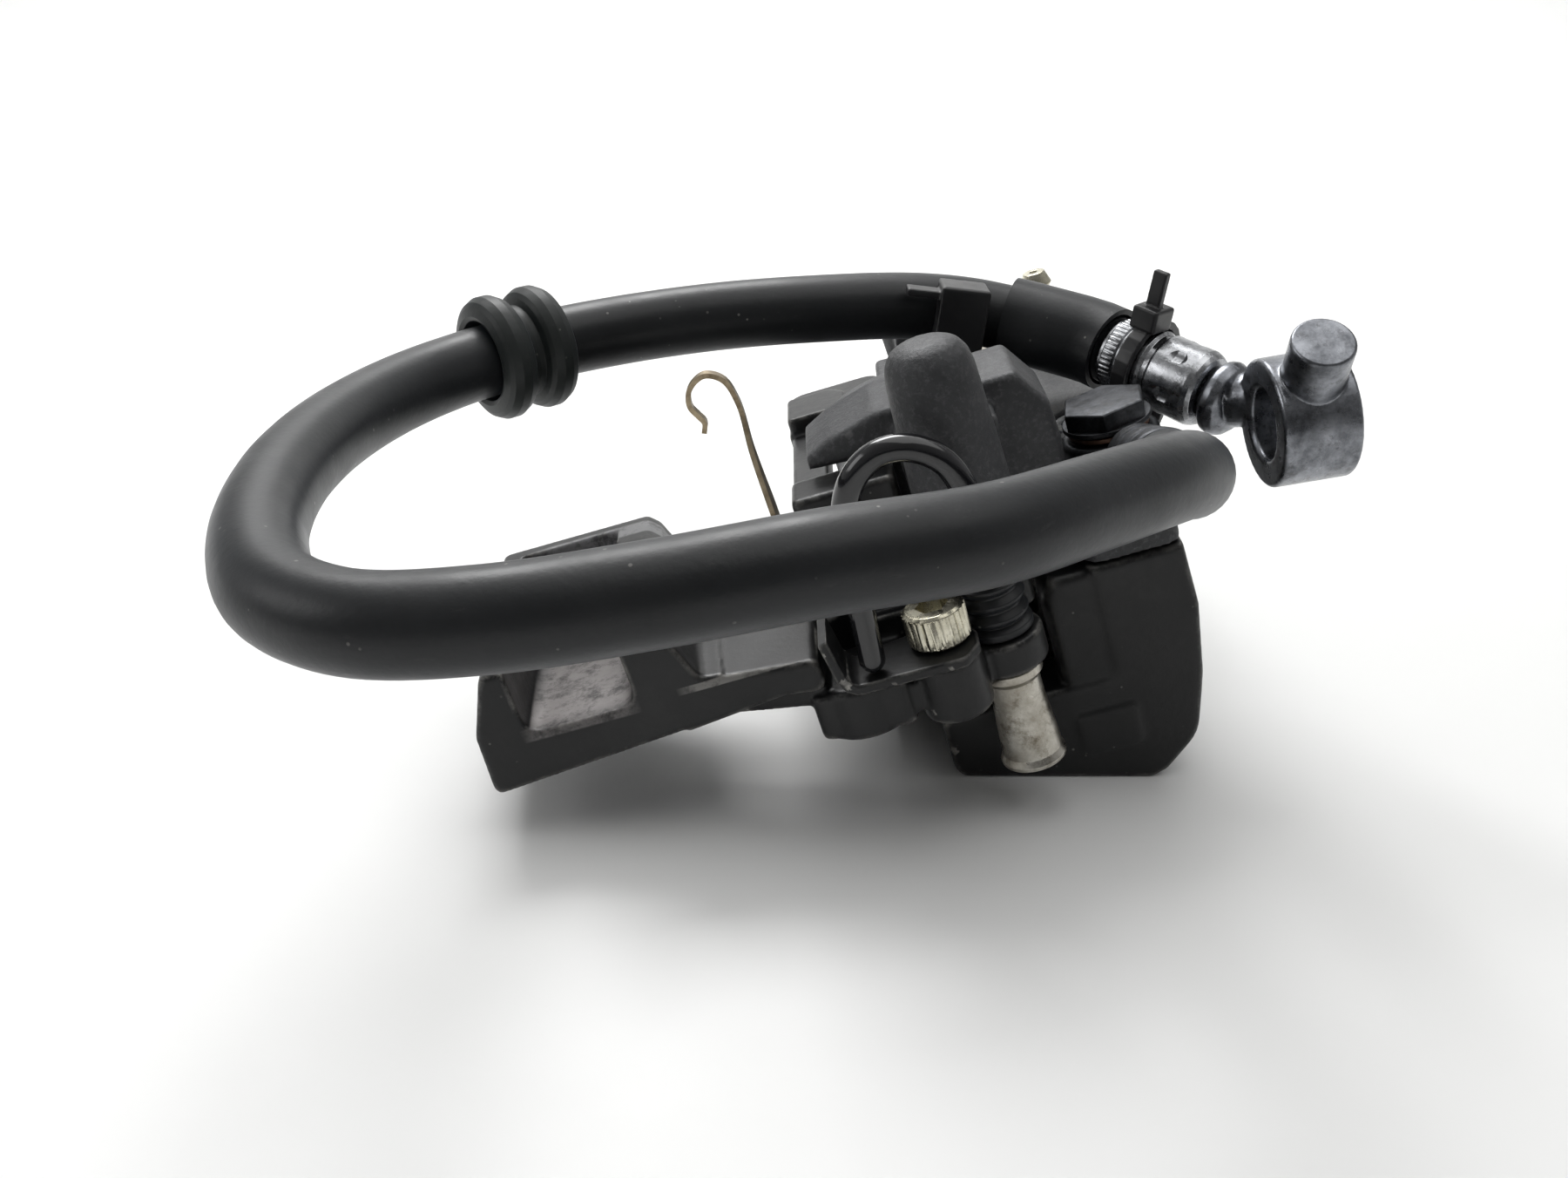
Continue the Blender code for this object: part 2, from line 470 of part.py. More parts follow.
def carrier():
    front = -59.0
    arm_profile = rounded([(-65.0, 6.1), (-30.0, 8.9), (-30.0, 15.0), (-32.8, 15.2), (-35.4, 22.0), (-37.0, 23.6), (-60.7, 23.7), (-64.4, 15.2)],
                          [1.4, 0.0, 0.0, 2.0, 1.6, 1.6, 1.6, 2.4], 3)
    body = put("carrier_bracket", shear_back(prism(arm_profile, front, -16.0, 'y', bevel=0.6, segments=2), front, 0.09))
    pocket = prism(rounded([(-57.5, 14.0), (-42.0, 14.0), (-42.0, 40.0), (-57.5, 40.0)], [2.6, 2.6, 0.0, 0.0], 5), front - 8.0, -19.2, 'y')
    cut(body, put("slot", shear_back(pocket, front, 0.09)))
    beam = prism(rounded([(-37.0, 7.9), (-23.0, 9.4), (-17.4, 8.6), (-17.4, 13.4), (-36.0, 15.2)], [0.0, 0.0, 1.6, 1.6, 0.0], 3), front + 0.08, -33.5, 'y', bevel=0.6)
    cross = prism(rounded([(-34.0, -52.0), (-17.6, -57.6), (-17.2, -47.0), (-13.5, -44.4), (12.2, -44.4), (12.2, -33.2), (-34.0, -33.2)], [0.0, 1.0, 1.0, 1.0, 2.0, 1.0, 2.0], 3),
                  5.6, 12.6, 'z', bevel=0.6)
    low = prism(rounded([(-20.5, -57.6), (2.0, -58.6), (5.0, -52.0), (10.5, -48.0), (10.5, -40.0), (-20.5, -40.0)], [3.0, 2.0, 0.0, 2.0, 1.0, 1.0], 3),
                1.63, 6.18, 'z', bevel=0.4)
    lobe = disc(-13.7, -52.8, 6.6, 0.0, 7.75, 26, bevel=0.9)
    lobe_block = prism(rounded([(-20.3, -58.0), (-7.0, -59.3), (-7.0, -46.0), (-20.3, -46.0)], 2.0, 3), 0.6, 7.4, 'z', bevel=0.6)
    boss_c = disc(-1.5, -55.6, 4.75, -0.6, 8.1, 26, bevel=0.8)
    rise = prism(rounded([(-12.0, -46.3), (1.2, -46.3), (1.2, -38.0), (-12.0, -38.0)], 1.0, 3), 4.0, 10.9)
    eye = disc(PIN_X, -PIN_Y, EYE_R, EYE_Z0, EYE_Z1, 20, bevel=0.45)
    tie = prism(rounded([(-20.9, -36.0), (-14.6, -36.0), (-14.6, 40.0), (-20.9, 40.0)], 1.5, 3), 6.75, 12.2, 'z', bevel=0.6)
    rear = prism(rounded([(-21.3, 33.2), (12.2, 33.2), (12.2, 44.4), (1.0, 45.5), (-4.0, 57.0), (-21.3, 57.0)], [1.2, 2.0, 2.0, 4.0, 4.0, 4.0], 3), 5.6, 12.6, 'z', bevel=0.6)
    rear_low = prism(rounded([(-8.0, 40.0), (10.5, 40.0), (10.5, 48.0), (3.0, 53.0), (-8.0, 50.0)], 2.0, 3), 1.63, 6.18, 'z', bevel=0.4)
    abutment = prism(rounded([(-20.9, 33.6), (-9.6, 33.6), (-9.6, 42.8), (-12.2, 46.0), (-20.9, 46.0)], [1.2, 0.8, 2.0, 2.0, 1.2], 3), 11.0, 15.6, 'z', bevel=0.8)
    upright = prism(rounded([(-16.4, -42.6), (-1.9, -42.6), (-1.9, -34.4), (-16.4, -34.4)], [1.2, 1.0, 1.0, 1.2], 3), 11.0, 29.0, 'z', bevel=0.8)
    eye_rear = disc(PIN_X, PIN_Y, EYE_R, EYE_Z0, EYE_Z1, 20, bevel=0.45)
    add(body, put("beam", beam), put("cross", cross), put("low", low), put("lobe_block", lobe_block), put("lobe", lobe), put("boss_c", boss_c),
        put("rise", rise), put("eye", eye), put("tie", tie), put("rear", rear), put("abutment", abutment), put("upright", upright), put("rear_low", rear_low), put("eye_rear", eye_rear))
    cut(body, put("stay_hole", disc(-1.5, -55.6, BOLT_R + 0.2, -5.0, 15.0, 20)))
    for sign in (-1, 1):
        cut(body, put("eye_hole", disc(PIN_X, sign * PIN_Y, PIN_R + GAP, -5.0, 15.0, 24)))
    return finish(body, BLACK_PAINT)


# ---------------------------------------------------------------- slide pins, boots and sleeves
def pin_set(tag, sign):
    centre = (PIN_X, sign * PIN_Y, 0.0)
    origin = (PIN_X, sign * PIN_Y, EYE_Z1)
    tip = 42.2 if sign < 0 else REAR_TOP - 4.6
    put("slide_pin_" + tag, lathe([(0.0, -13.6), (2.0, -13.6), (2.5, -13.1), (2.5, 1.0), (PIN_R, 1.6), (PIN_R, tip - 0.8), (PIN_R - 0.8, tip), (0.0, tip)], 18, centre),
        STEEL, origin=origin)
    put("guide_sleeve_" + tag, lathe([(2.8, SLEEVE_Z1), (4.1, SLEEVE_Z1), (4.4, SLEEVE_Z1 - 0.4), (4.4, -0.3), (3.65, -1.2), (3.7, -5.0), (4.15, -10.5), (4.2, -12.8),
                                      (4.65, SLEEVE_Z0 + 0.6), (4.55, SLEEVE_Z0), (3.6, SLEEVE_Z0), (2.8, SLEEVE_Z0 + 0.8)], 18, centre), STEEL, origin=origin)
    outer = [(4.7, EYE_Z1 + GAP), (4.8, 7.7)]
    z = 8.1
    for k in range(3):
        outer += [(3.85, z + 0.2), (4.6, z + 1.0), (4.6, z + 1.4), (3.85, z + 2.2)]
        z += 2.3
    outer += [(4.7, 15.3), (4.7, BOSS_Z0 - GAP)]
    inner = [(3.35, BOSS_Z0 - GAP), (3.35, EYE_Z1 + GAP)]
    put("boot_" + tag, lathe(outer + inner, 18, centre), RUBBER, origin=origin)


# ---------------------------------------------------------------- piston, seals, pads
def piston_and_pads():
    axis = (PISTON_X, 0.0, BORE_Z0)
    piston_low = SLOT_Z1 + LINING_T + PLATE_T + 2 * GAP
    r = PISTON_R
    put("piston", lathe([(0.0, 19.0), (8.7, 19.0), (9.3, 18.2), (9.3, piston_low), (r - 0.6, piston_low), (r, piston_low + 0.6), (r, 21.1), (r - 0.8, 21.9), (0.0, 21.9)],
                        32, (PISTON_X, 0.0, 0.0)), STEEL, origin=axis)
    put("piston_seal", lathe([(BORE_R + 0.2, SEAL_Z0 + 0.2), (SEAL_R - 0.25, SEAL_Z0 + 0.2), (SEAL_R - 0.25, SEAL_Z1 - 0.2), (BORE_R + 0.2, SEAL_Z1 - 0.2)], 28,
                             (PISTON_X, 0.0, 0.0)), RUBBER, origin=axis)
    put("dust_seal", lathe([(BORE_R + 0.2, DUST_Z0 + 0.2), (DUST_R - 0.25, DUST_Z0 + 0.2), (DUST_R - 0.25, DUST_Z1 - 0.2), (BORE_R + 0.2, DUST_Z1 - 0.2)], 28,
                           (PISTON_X, 0.0, 0.0)), RUBBER, origin=axis)
    plate_shape = rounded([(PAD_X0, -PAD_HALF + 3.0), (PAD_X0 + 4.0, -PAD_HALF), (11.0, -PAD_HALF), (PAD_X1, -PAD_HALF + 6.0), (PAD_X1, PAD_HALF - 6.0),
                           (11.0, PAD_HALF), (PAD_X0 + 4.0, PAD_HALF), (PAD_X0, PAD_HALF - 3.0)], 1.5, 3)
    lining_shape = rounded([(PAD_X0 + 1.5, -PAD_HALF + 6.0), (PAD_X0 + 5.0, -PAD_HALF + 2.5), (9.0, -PAD_HALF + 3.0), (13.0, -PAD_HALF + 11.0),
                            (13.0, PAD_HALF - 11.0), (9.0, PAD_HALF - 3.0), (PAD_X0 + 5.0, PAD_HALF - 2.5), (PAD_X0 + 1.5, PAD_HALF - 6.0)], 1.5, 3)

    def plate(name, z0):
        ob = put(name, prism(plate_shape, z0, z0 + PLATE_T, 'z', bevel=0.3, segments=1), origin=(2.0, 0.0, z0))
        cut(ob, put("hole", disc(16.0, 25.0, 2.3, z0 - 3.0, z0 + PLATE_T + 3.0, 20)))
        return finish(ob, BLACK_PAINT)

    def lining(name, z0):
        ob = put(name, prism(lining_shape, z0, z0 + LINING_T, 'z', bevel=0.4, segments=1), origin=(2.0, 0.0, z0))
        deep = z0 - 3.2 if "inner" in name else z0 + 1.2
        cut(ob, put("groove", box(-20.0, 20.0, -0.8, 0.8, deep, deep + 5.0)))
        return finish(ob, FRICTION)

    plate("pad_plate_inner", SLOT_Z1 + LINING_T + GAP)
    lining("pad_lining_inner", SLOT_Z1)
    lining("pad_lining_outer", SLOT_Z0 - LINING_T)
    plate("pad_plate_outer", SLOT_Z0 - LINING_T - GAP - PLATE_T)
    put("pad_pin", lathe([(0.0, -20.5), (1.5, -20.5), (1.9, -20.1), (1.9, 21.4), (1.5, 21.9), (0.0, 21.9)], 20, (16.0, 25.0, 0.0)), STEEL, origin=(16.0, 25.0, 0.0))
    leaf = smooth_route([(17.9, -18.0, 0.0), (18.6, -15.5, 0.0), (19.2, -9.0, 0.0), (18.75, -3.0, 0.0), (18.7, 3.0, 0.0), (19.2, 9.0, 0.0), (18.6, 15.5, 0.0), (17.9, 18.0, 0.0)], 25)
    put("pad_spring", sweep(leaf, [(-0.25, -6.6), (0.25, -6.6), (0.25, 5.2), (-0.25, 5.2)], (0, 0, 1)), SPRING, origin=(18.5, 0.0, 0.0))


# ---------------------------------------------------------------- bolts and bleed screw
def knurled_screw(name, centre, z_head, shank_low, shank_r, head_r, head_h, socket_r, mat, flutes=15):
    """Socket head cap screw with a knurled rim."""
    rim = []
    for k in range(2 * flutes):
        r = head_r if k % 2 == 0 else head_r - 0.16
        a = math.pi * k / flutes
        rim.append((centre[0] + r * math.cos(a), centre[1] + r * math.sin(a)))
    head = prism(rim, z_head + 0.35, z_head + head_h - 0.45)
    ob = put(name, head, origin=(centre[0], centre[1], z_head))
    core = lathe([(0.0, shank_low), (shank_r - 0.4, shank_low), (shank_r, shank_low + 0.4), (shank_r, z_head), (head_r - 0.35, z_head), (head_r - 0.1, z_head + 0.36),
                  (head_r - 0.25, z_head + 1.0), (head_r - 0.25, z_head + head_h - 0.8), (head_r - 0.12, z_head + head_h - 0.46), (head_r - 0.55, z_head + head_h), (0.0, z_head + head_h)],
                 2 * flutes, (centre[0], centre[1], 0.0))
    add(ob, put("core", core))
    cut(ob, put("socket", prism(circle(centre[0], centre[1], socket_r, 6), z_head + head_h - 2.6, z_head + head_h + 2.0)))
    return finish(ob, mat, 25.0)


def fasteners():
    knurled_screw("stay_bolt", (-1.5, -55.6), 8.1 + GAP + STAY_T + GAP, -0.4, BOLT_R, BOLT_HEAD_R, BOLT_HEAD_H, 2.3, ZINC)
    for tag, y in zip(("front", "rear"), BOLT_YS):
        body = lathe([(0.0, -11.5), (2.6, -11.5), (3.0, -11.0), (3.0, 11.9), (4.5, 11.9), (4.5, 15.9), (4.1, 16.3), (0.0, 16.3)], 24, (BOLT_X, y, 0.0))
        ob = put("body_bolt_" + tag, body, origin=(BOLT_X, y, 11.9))
        cut(ob, put("socket", prism(circle(BOLT_X, y, 2.9, 6), 13.0, 20.0)))
        finish(ob, DARK_STEEL)
    # banjo bolt: hexagon head on a drilled shank
    seat = BANJO_SEAT
    wash, eye = 0.8, 6.0
    z_wash_low = seat + GAP
    z_eye = z_wash_low + wash + GAP
    z_wash_up = z_eye + eye + GAP
    z_hex = z_wash_up + wash + GAP
    for tag, z0 in (("lower", z_wash_low), ("upper", z_wash_up)):
        put("washer_" + tag, lathe([(5.1, z0), (5.9, z0), (5.9, z0 + wash), (5.1, z0 + wash)], 24, (BANJO_X, BANJO_Y, 0.0)), COPPER, origin=(BANJO_X, BANJO_Y, z0))
    bolt = put("banjo_bolt", lathe([(0.0, 5.0), (2.9, 5.0), (3.3, 5.4), (3.3, seat + 0.2), (4.9, seat + 0.6), (4.9, z_hex), (6.5, z_hex), (6.5, z_hex + 0.8), (0.0, z_hex + 0.8)],
                                   20, (BANJO_X, BANJO_Y, 0.0)), origin=(BANJO_X, BANJO_Y, z_hex))
    hexa = prism(circle(BANJO_X, BANJO_Y, 6.4, 6, 0.35), z_hex + 0.4, z_hex + 3.4, 'z', bevel=0.4, segments=1)
    add(bolt, put("hex", hexa))
    finish(bolt, DARK_STEEL)
    # bleed screw
    screw = put("bleed_screw", lathe([(0.0, 10.6), (1.7, 10.6), (2.3, 11.6), (2.3, 20.2), (3.9, 20.4), (3.9, 24.6), (2.3, 25.6), (2.0, 27.4), (2.7, 28.4), (1.9, 30.6), (0.0, 30.6)], 20,
                                     (28.4, 29.0, 0.0)), origin=(28.4, 29.0, 20.4))
    add(screw, put("hex", prism(circle(28.4, 29.0, 4.6, 6, 0.3), 20.5, 25.0, 'z', bevel=0.35, segments=1)))
    cut(screw, put("bleed_bore", disc(28.4, 29.0, 0.7, 15.0, 40.0, 10)))
    finish(screw, ZINC)
    return z_eye, eye


# ---------------------------------------------------------------- stay plate, wire guide, hook spring
def stay_group():
    z0 = 8.1 + GAP
    plan = [(-13.2, -62.2), (1.2, -62.2), (3.2, -59.0), (3.3, -55.6), (1.8, -52.2), (-1.5, -50.8), (-6.0, -51.6), (-13.2, -53.6)]
    plate = put("stay_plate", prism(rounded(plan, [0.0, 2.0, 1.5, 2.0, 2.0, 2.0, 2.0, 0.0], 3), z0, z0 + STAY_T, 'z', bevel=0.3, segments=1), origin=(-1.5, -55.6, z0))
    curl = [(-10.5, z0 + 0.06), (-13.6, z0 + 0.04), (-14.9, z0 + 0.9), (-15.7, z0 + 2.6), (-16.6, z0 + 8.2), (-15.3, z0 + 8.7), (-14.4, z0 + 3.2), (-13.6, z0 + 1.9), (-12.8, z0 + STAY_T - 0.05), (-10.5, z0 + STAY_T - 0.07)]
    add(plate, put("curl", prism(curl, -62.1, -53.75, 'y', bevel=0.3, segments=1)))
    cut(plate, put("hole", disc(-1.5, -55.6, BOLT_R + GAP, 0.0, 20.0, 20)))
    finish(plate, BLACK_PAINT)
    z = z0 + STAY_T + GAP + WIRE_R
    route = [(-10.6, -59.8, z), (-10.0, -59.9, 19.0), (-9.1, -60.0, 28.0), (-8.4, -60.0, 32.6), (-6.0, -60.0, 36.8), (-2.4, -60.0, 38.9), (1.4, -60.0, 38.5),
             (4.8, -60.0, 35.9), (6.4, -60.0, 32.0), (6.9, -60.0, 27.0), (7.0, -60.0, 22.0)]
    put("wire_guide", round_wire(smooth_route(route, 27), WIRE_R, 12), GLOSS_BLACK, origin=route[0])
    strip = [(-17.35, -38.0, 14.5), (-18.2, -38.0, 15.7), (-19.2, -38.0, 18.5), (-19.4, -37.6, 26.0), (-19.7, -37.0, 36.0), (-19.5, -36.6, 43.0),
             (-20.5, -36.5, 46.6), (-22.8, -36.5, 47.9), (-25.2, -36.5, 46.6), (-25.9, -36.5, 44.4), (-25.2, -36.5, 42.7), (-24.7, -36.5, 41.6), (-25.2, -36.5, 40.2)]

    def section(t):
        w = 2.3 if t < 0.3 else max(0.75, 2.3 - (t - 0.3) * 5.2)
        return [(-0.35, -w), (0.35, -w), (0.35, w), (-0.35, w)]

    put("hook_spring", sweep(smooth_route(strip, 34), section, (0, 1, 0)), SPRING, origin=strip[0])


# ---------------------------------------------------------------- hose and what is on it (set-out frame)
FREE_ROUTE = {
    "sleeve_in": (36.2, 240.2, 55.6), "sleeve_out": (51.3, 231.2, 53.0), "ferrule_out": (63.4, 219.0, 50.2), "eye": (72.6, 205.5, 50.8),
}
EYE_AXIS = (0.987, 0.08, 0.145)
PIN_AXIS = (-0.183, -0.539, 0.822)


def along(a, b, s):
    """Point s millimetres from a towards b."""
    a, b = Vector(a), Vector(b)
    return a + (b - a).normalized() * s


def hose_group(z_eye, eye_t):
    banjo_mid = AXLE @ Vector((BANJO_X, BANJO_Y, z_eye + eye_t / 2.0))
    out_dir = Vector((0.12, -0.985, 0.12)).normalized()
    up_axle = (AXLE.to_3x3() @ Vector((0, 0, 1))).normalized()
    out_dir = (out_dir - up_axle * out_dir.dot(up_axle)).normalized()
    out_dir = (out_dir + up_axle * 0.2).normalized()
    flat = Matrix.Identity(4)
    # caliper-end banjo: eye, neck and crimped ferrule
    ring = put("banjo_caliper", lathe([(5.2, -eye_t / 2), (6.6, -eye_t / 2), (7.2, -eye_t / 2 + 0.6), (7.2, eye_t / 2 - 0.6), (6.6, eye_t / 2), (5.2, eye_t / 2)], 24,
                                      banjo_mid, up_axle), frame=flat, origin=banjo_mid)
    neck = lathe([(0.0, 6.8), (2.6, 6.8), (2.9, 11.2), (0.0, 11.2)], 20, banjo_mid, out_dir)
    add(ring, put("neck", neck, frame=flat))
    finish(ring, DARK_STEEL)
    f0 = banjo_mid + out_dir * 11.5
    put("ferrule_caliper", lathe([(0.0, 0.0), (4.0, 0.0), (4.9, 0.9), (5.0, 3.2), (4.7, 3.6), (4.7, 5.0), (5.1, 5.4), (5.1, 7.2), (4.8, 7.6), (4.8, 9.0), (5.3, 9.4), (5.4, 11.4), (5.2, 12.0), (0.0, 12.0)],
                                 18, f0, out_dir), DARK_STEEL, frame=flat, origin=f0)
    start = f0 + out_dir * (12.0 + 0.4)
    # free end: sleeve, ferrule, banjo eye with stop pin
    a, b, c, e = (SET_OUT @ Vector(FREE_ROUTE[k]) for k in ("sleeve_in", "sleeve_out", "ferrule_out", "eye"))
    d = (c - b).normalized()
    length = (c - b).length
    crimp = [(0.0, 0.3), (5.2, 0.3), (5.35, 0.7), (5.35, 3.4), (FERRULE_R, 4.0), (FERRULE_R, 7.6), (5.35, 8.2), (5.35, 10.0), (FERRULE_R, 10.6),
             (FERRULE_R, length - 1.0), (FERRULE_R - 0.7, length), (0.0, length)]
    put("ferrule_free", lathe(crimp, 22, b, d), DARK_STEEL, frame=flat, origin=b)
    axis = Vector(EYE_AXIS).normalized()
    half = EYE_T / 2
    eye = put("banjo_free", lathe([(0.0, -half), (EYE_OD_R - 0.4, -half), (EYE_OD_R, -half + 0.4), (EYE_OD_R, half - 0.4), (EYE_OD_R - 0.4, half), (0.0, half)], 26, e, axis), frame=flat, origin=e)
    side = (c - e) - axis * (c - e).dot(axis)
    root = e + side.normalized() * (EYE_OD_R - 1.6) - axis * 1.5
    neck_route = smooth_route([c + d * (GAP + 0.05), c + d * 2.6, c.lerp(root, 0.62) + d * 0.8, root], 9)
    add(eye, put("neck", round_wire(neck_route, 4.1, 16, dome=False), frame=flat))
    add(eye, put("collar", lathe([(0.0, 0.75), (4.3, 0.75), (5.5, 1.5), (5.75, 2.6), (5.3, 3.8), (4.0, 5.0), (0.0, 5.4)], 22, c, d), frame=flat))
    pin = Vector(PIN_AXIS).normalized()
    pin = (pin - axis * pin.dot(axis)).normalized()
    add(eye, put("stop_pin", lathe([(0.0, EYE_OD_R - 2.2), (STOP_PIN_R, EYE_OD_R - 2.2), (STOP_PIN_R, EYE_OD_R + 6.4), (STOP_PIN_R - 0.3, EYE_OD_R + 6.8), (0.0, EYE_OD_R + 6.8)],
                                   28, e, pin), frame=flat))
    cut(eye, put("eye_bore", lathe([(0.0, -half - 3), (EYE_ID_R + 3.6, -half - 3), (EYE_ID_R, -half + 0.6), (EYE_ID_R, half - 0.6), (EYE_ID_R + 3.6, half + 3), (0.0, half + 3)], 26, e, axis), frame=flat))
    finish(eye, DARK_STEEL)
    # the hose: one self-supporting loop
    s = Vector(SHIFT)
    route = [start, start + out_dir * 5.0] + [s + Vector(p) for p in (
        (50.3, 178.6, 52.0), (48.4, 171.4, 55.2), (43.6, 163.2, 57.6), (33.4, 151.8, 59.4), (20.0, 139.8, 60.6), (4.0, 133.4, 60.6), (-12.0, 130.6, 58.6), (-28.0, 129.2, 56.6), (-41.0, 130.8, 55.4),
        (-50.4, 137.6, 55.0), (-56.0, 149.6, 55.2), (-58.8, 166.0, 55.4), (-58.6, 182.0, 55.2), (-55.6, 198.0, 54.8), (-49.4, 212.6, 54.6), (-39.4, 223.6, 55.2), (-26.0, 231.0, 56.2),
        (-10.0, 235.2, 57.4), (6.0, 238.0, 57.9), (20.0, 240.8, 57.6), (29.0, 241.6, 56.7))] + [a, a.lerp(b, 0.45) + Vector((0.3, 0.6, 0.1)), b - d * 4.0, b - d * 0.4]
    points = smooth_route(route, 58)
    fine = smooth_route(route, 221)
    first = min(range(len(fine)), key=lambda i: (fine[i] - a).length)
    put("hose_sleeve", tube_along(fine[first::2], SLEEVE_R, HOSE_R + 0.5, 22), RUBBER, frame=flat, origin=fine[first])
    curve = bpy.data.curves.new("brake_hose", 'CURVE')
    curve.dimensions = '3D'
    spline = curve.splines.new('POLY')
    spline.points.add(len(points) - 1)
    for sp, p in zip(spline.points, points):
        sp.co = (p.x, p.y, p.z, 1.0)
    curve.bevel_depth = HOSE_R
    curve.bevel_resolution = 3
    curve.use_fill_caps = True
    hose = bpy.data.objects.new("brake_hose", curve)
    curve.materials.append(RUBBER)
    bpy.context.scene.collection.objects.link(hose)
    # grommet: two lobes with a waist between
    best = min(range(len(points)), key=lambda i: (points[i] - (s + Vector((-41.6, 221.8, 55.0)))).length)
    g = points[best]
    tangent = (points[best + 1] - points[best - 1]).normalized()
    ri = HOSE_R + 0.75

    def lobe(z, r, w):
        return [(r - w * 0.55, z - w), (r - 0.25 * w, z - 0.8 * w), (r, z - 0.3 * w), (r, z + 0.3 * w), (r - 0.25 * w, z + 0.8 * w), (r - w * 0.55, z + w)]

    outline = [(ri, -5.9), (ri + 0.7, -6.2)] + lobe(-3.5, 9.2, 2.3) + [(6.9, -0.9), (6.8, 0.0), (6.9, 0.9)] + lobe(3.5, 9.2, 2.3) + [(ri + 0.7, 6.2), (ri, 5.9)]
    put("hose_grommet", lathe(outline, 20, g, tangent), RUBBER, frame=flat, origin=g)
    # clip: collar round the hose, with a tab and a foot on the caliper
    ci = min(range(len(fine)), key=lambda i: (fine[i] - (s + Vector((27.0, 241.6, 57.0)))).length)
    cc = fine[ci]
    ct = (fine[ci + 1] - fine[ci - 1]).normalized()
    cy = Vector((0, 0, 1)).cross(ct).normalized()
    cz = ct.cross(cy)
    toward = Matrix(((ct.x, cy.x, cz.x, cc.x), (ct.y, cy.y, cz.y, cc.y), (ct.z, cy.z, cz.z, cc.z), (0, 0, 0, 1)))
    clip = put("hose_clip", prism([(-3.8, -9.6), (3.8, -9.6), (3.8, 7.4), (-3.8, 7.4)], -14.0, 5.5, 'z', bevel=0.5), frame=toward, origin=(0, 0, 0))
    add(clip, put("tab", prism([(-9.0, -9.0), (-3.0, -9.0), (-3.0, -5.7), (-9.0, -5.7)], 3.3, 4.5, 'z', bevel=0.2, segments=1), frame=toward))
    through = lathe([(0.0, -14.0), (HOSE_R + 0.7, -14.0), (HOSE_R + 0.7, 14.0), (0.0, 14.0)], 24, cc, ct)
    (xa, za), (xb, zb) = SLOPE
    rate = (zb - za) / (xb - xa)
    knee = xa + (HOUSING_TOP - za) / rate
    under = prism([(-10.0, HOUSING_TOP + GAP), (knee, HOUSING_TOP + GAP), (30.0, za + GAP + rate * (30.0 - xa)), (30.0, 0.0), (-10.0, 0.0)], -30.0, 30.0, 'y')
    cut(clip, put("through", through, frame=flat), put("open_back", box(-6.0, 6.0, -3.4, 12.0, 1.6, 12.0), frame=toward), put("under", under))
    finish(clip, NYLON)
    # zip tie round the free ferrule
    tie_mid = b + d * 5.8
    down = Vector((0, 0, -1))
    down = (down - d * down.dot(d)).normalized()
    across = d.cross(down).normalized()
    rad = FERRULE_R + GAP + 0.6
    loop = []
    for k in range(13):
        ang = math.pi * k / 12
        loop.append(tie_mid - down * rad * math.sin(ang) + across * rad * math.cos(ang))
    loop += [tie_mid - across * (rad - 0.4) + down * 3.2, tie_mid - across * 3.6 + down * 6.6]
    for k in range(9):
        ang = math.pi * k / 8
        loop.append(tie_mid + down * 9.0 + across * (4.4 - 2.9 * math.cos(ang)) + down * 3.8 * math.sin(ang))
    loop += [tie_mid + across * rad + down * 3.5]
    strap = sweep([Vector(p) for p in loop], [(-0.6, -1.25), (0.6, -1.25), (0.6, 1.25), (-0.6, 1.25)], d, closed=True)
    tie = put("zip_tie", strap, frame=flat, origin=tie_mid)
    head_mid = tie_mid - down * (rad + 1.4) - across * 1.5
    head_frame = Matrix((( across.x, d.x, -down.x, head_mid.x), (across.y, d.y, -down.y, head_mid.y), (across.z, d.z, -down.z, head_mid.z), (0, 0, 0, 1)))
    add(tie, put("head", box(-2.6, 2.4, -2.2, 2.2, -2.0, 1.6, bevel=0.4), frame=head_frame),
        put("tail", box(-0.9, 0.3, -1.2, 1.2, 0.0, 7.0, bevel=0.15), frame=head_frame))
    finish(tie, NYLON)
    return route_length(points)


outer_half()
inner_half()
carrier()
pin_set("front", -1)
pin_set("rear", 1)
piston_and_pads()
Z_EYE, EYE_THICK = fasteners()
stay_group()
HOSE_LENGTH = hose_group(Z_EYE, EYE_THICK)
for _ob in bpy.data.objects:
    _ob.location = _ob.location * MM
    if _ob.type == 'CURVE':
        _ob.data.bevel_depth *= MM
        for _p in _ob.data.splines[0].points:
            _p.co = (_p.co.x * MM, _p.co.y * MM, _p.co.z * MM, 1.0)
    else:
        _ob.data.transform(Matrix.Scale(MM, 4))
print("hose length mm", round(HOSE_LENGTH, 1))
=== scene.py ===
import json
import math

import bmesh
import bpy
from mathutils import Matrix, Vector

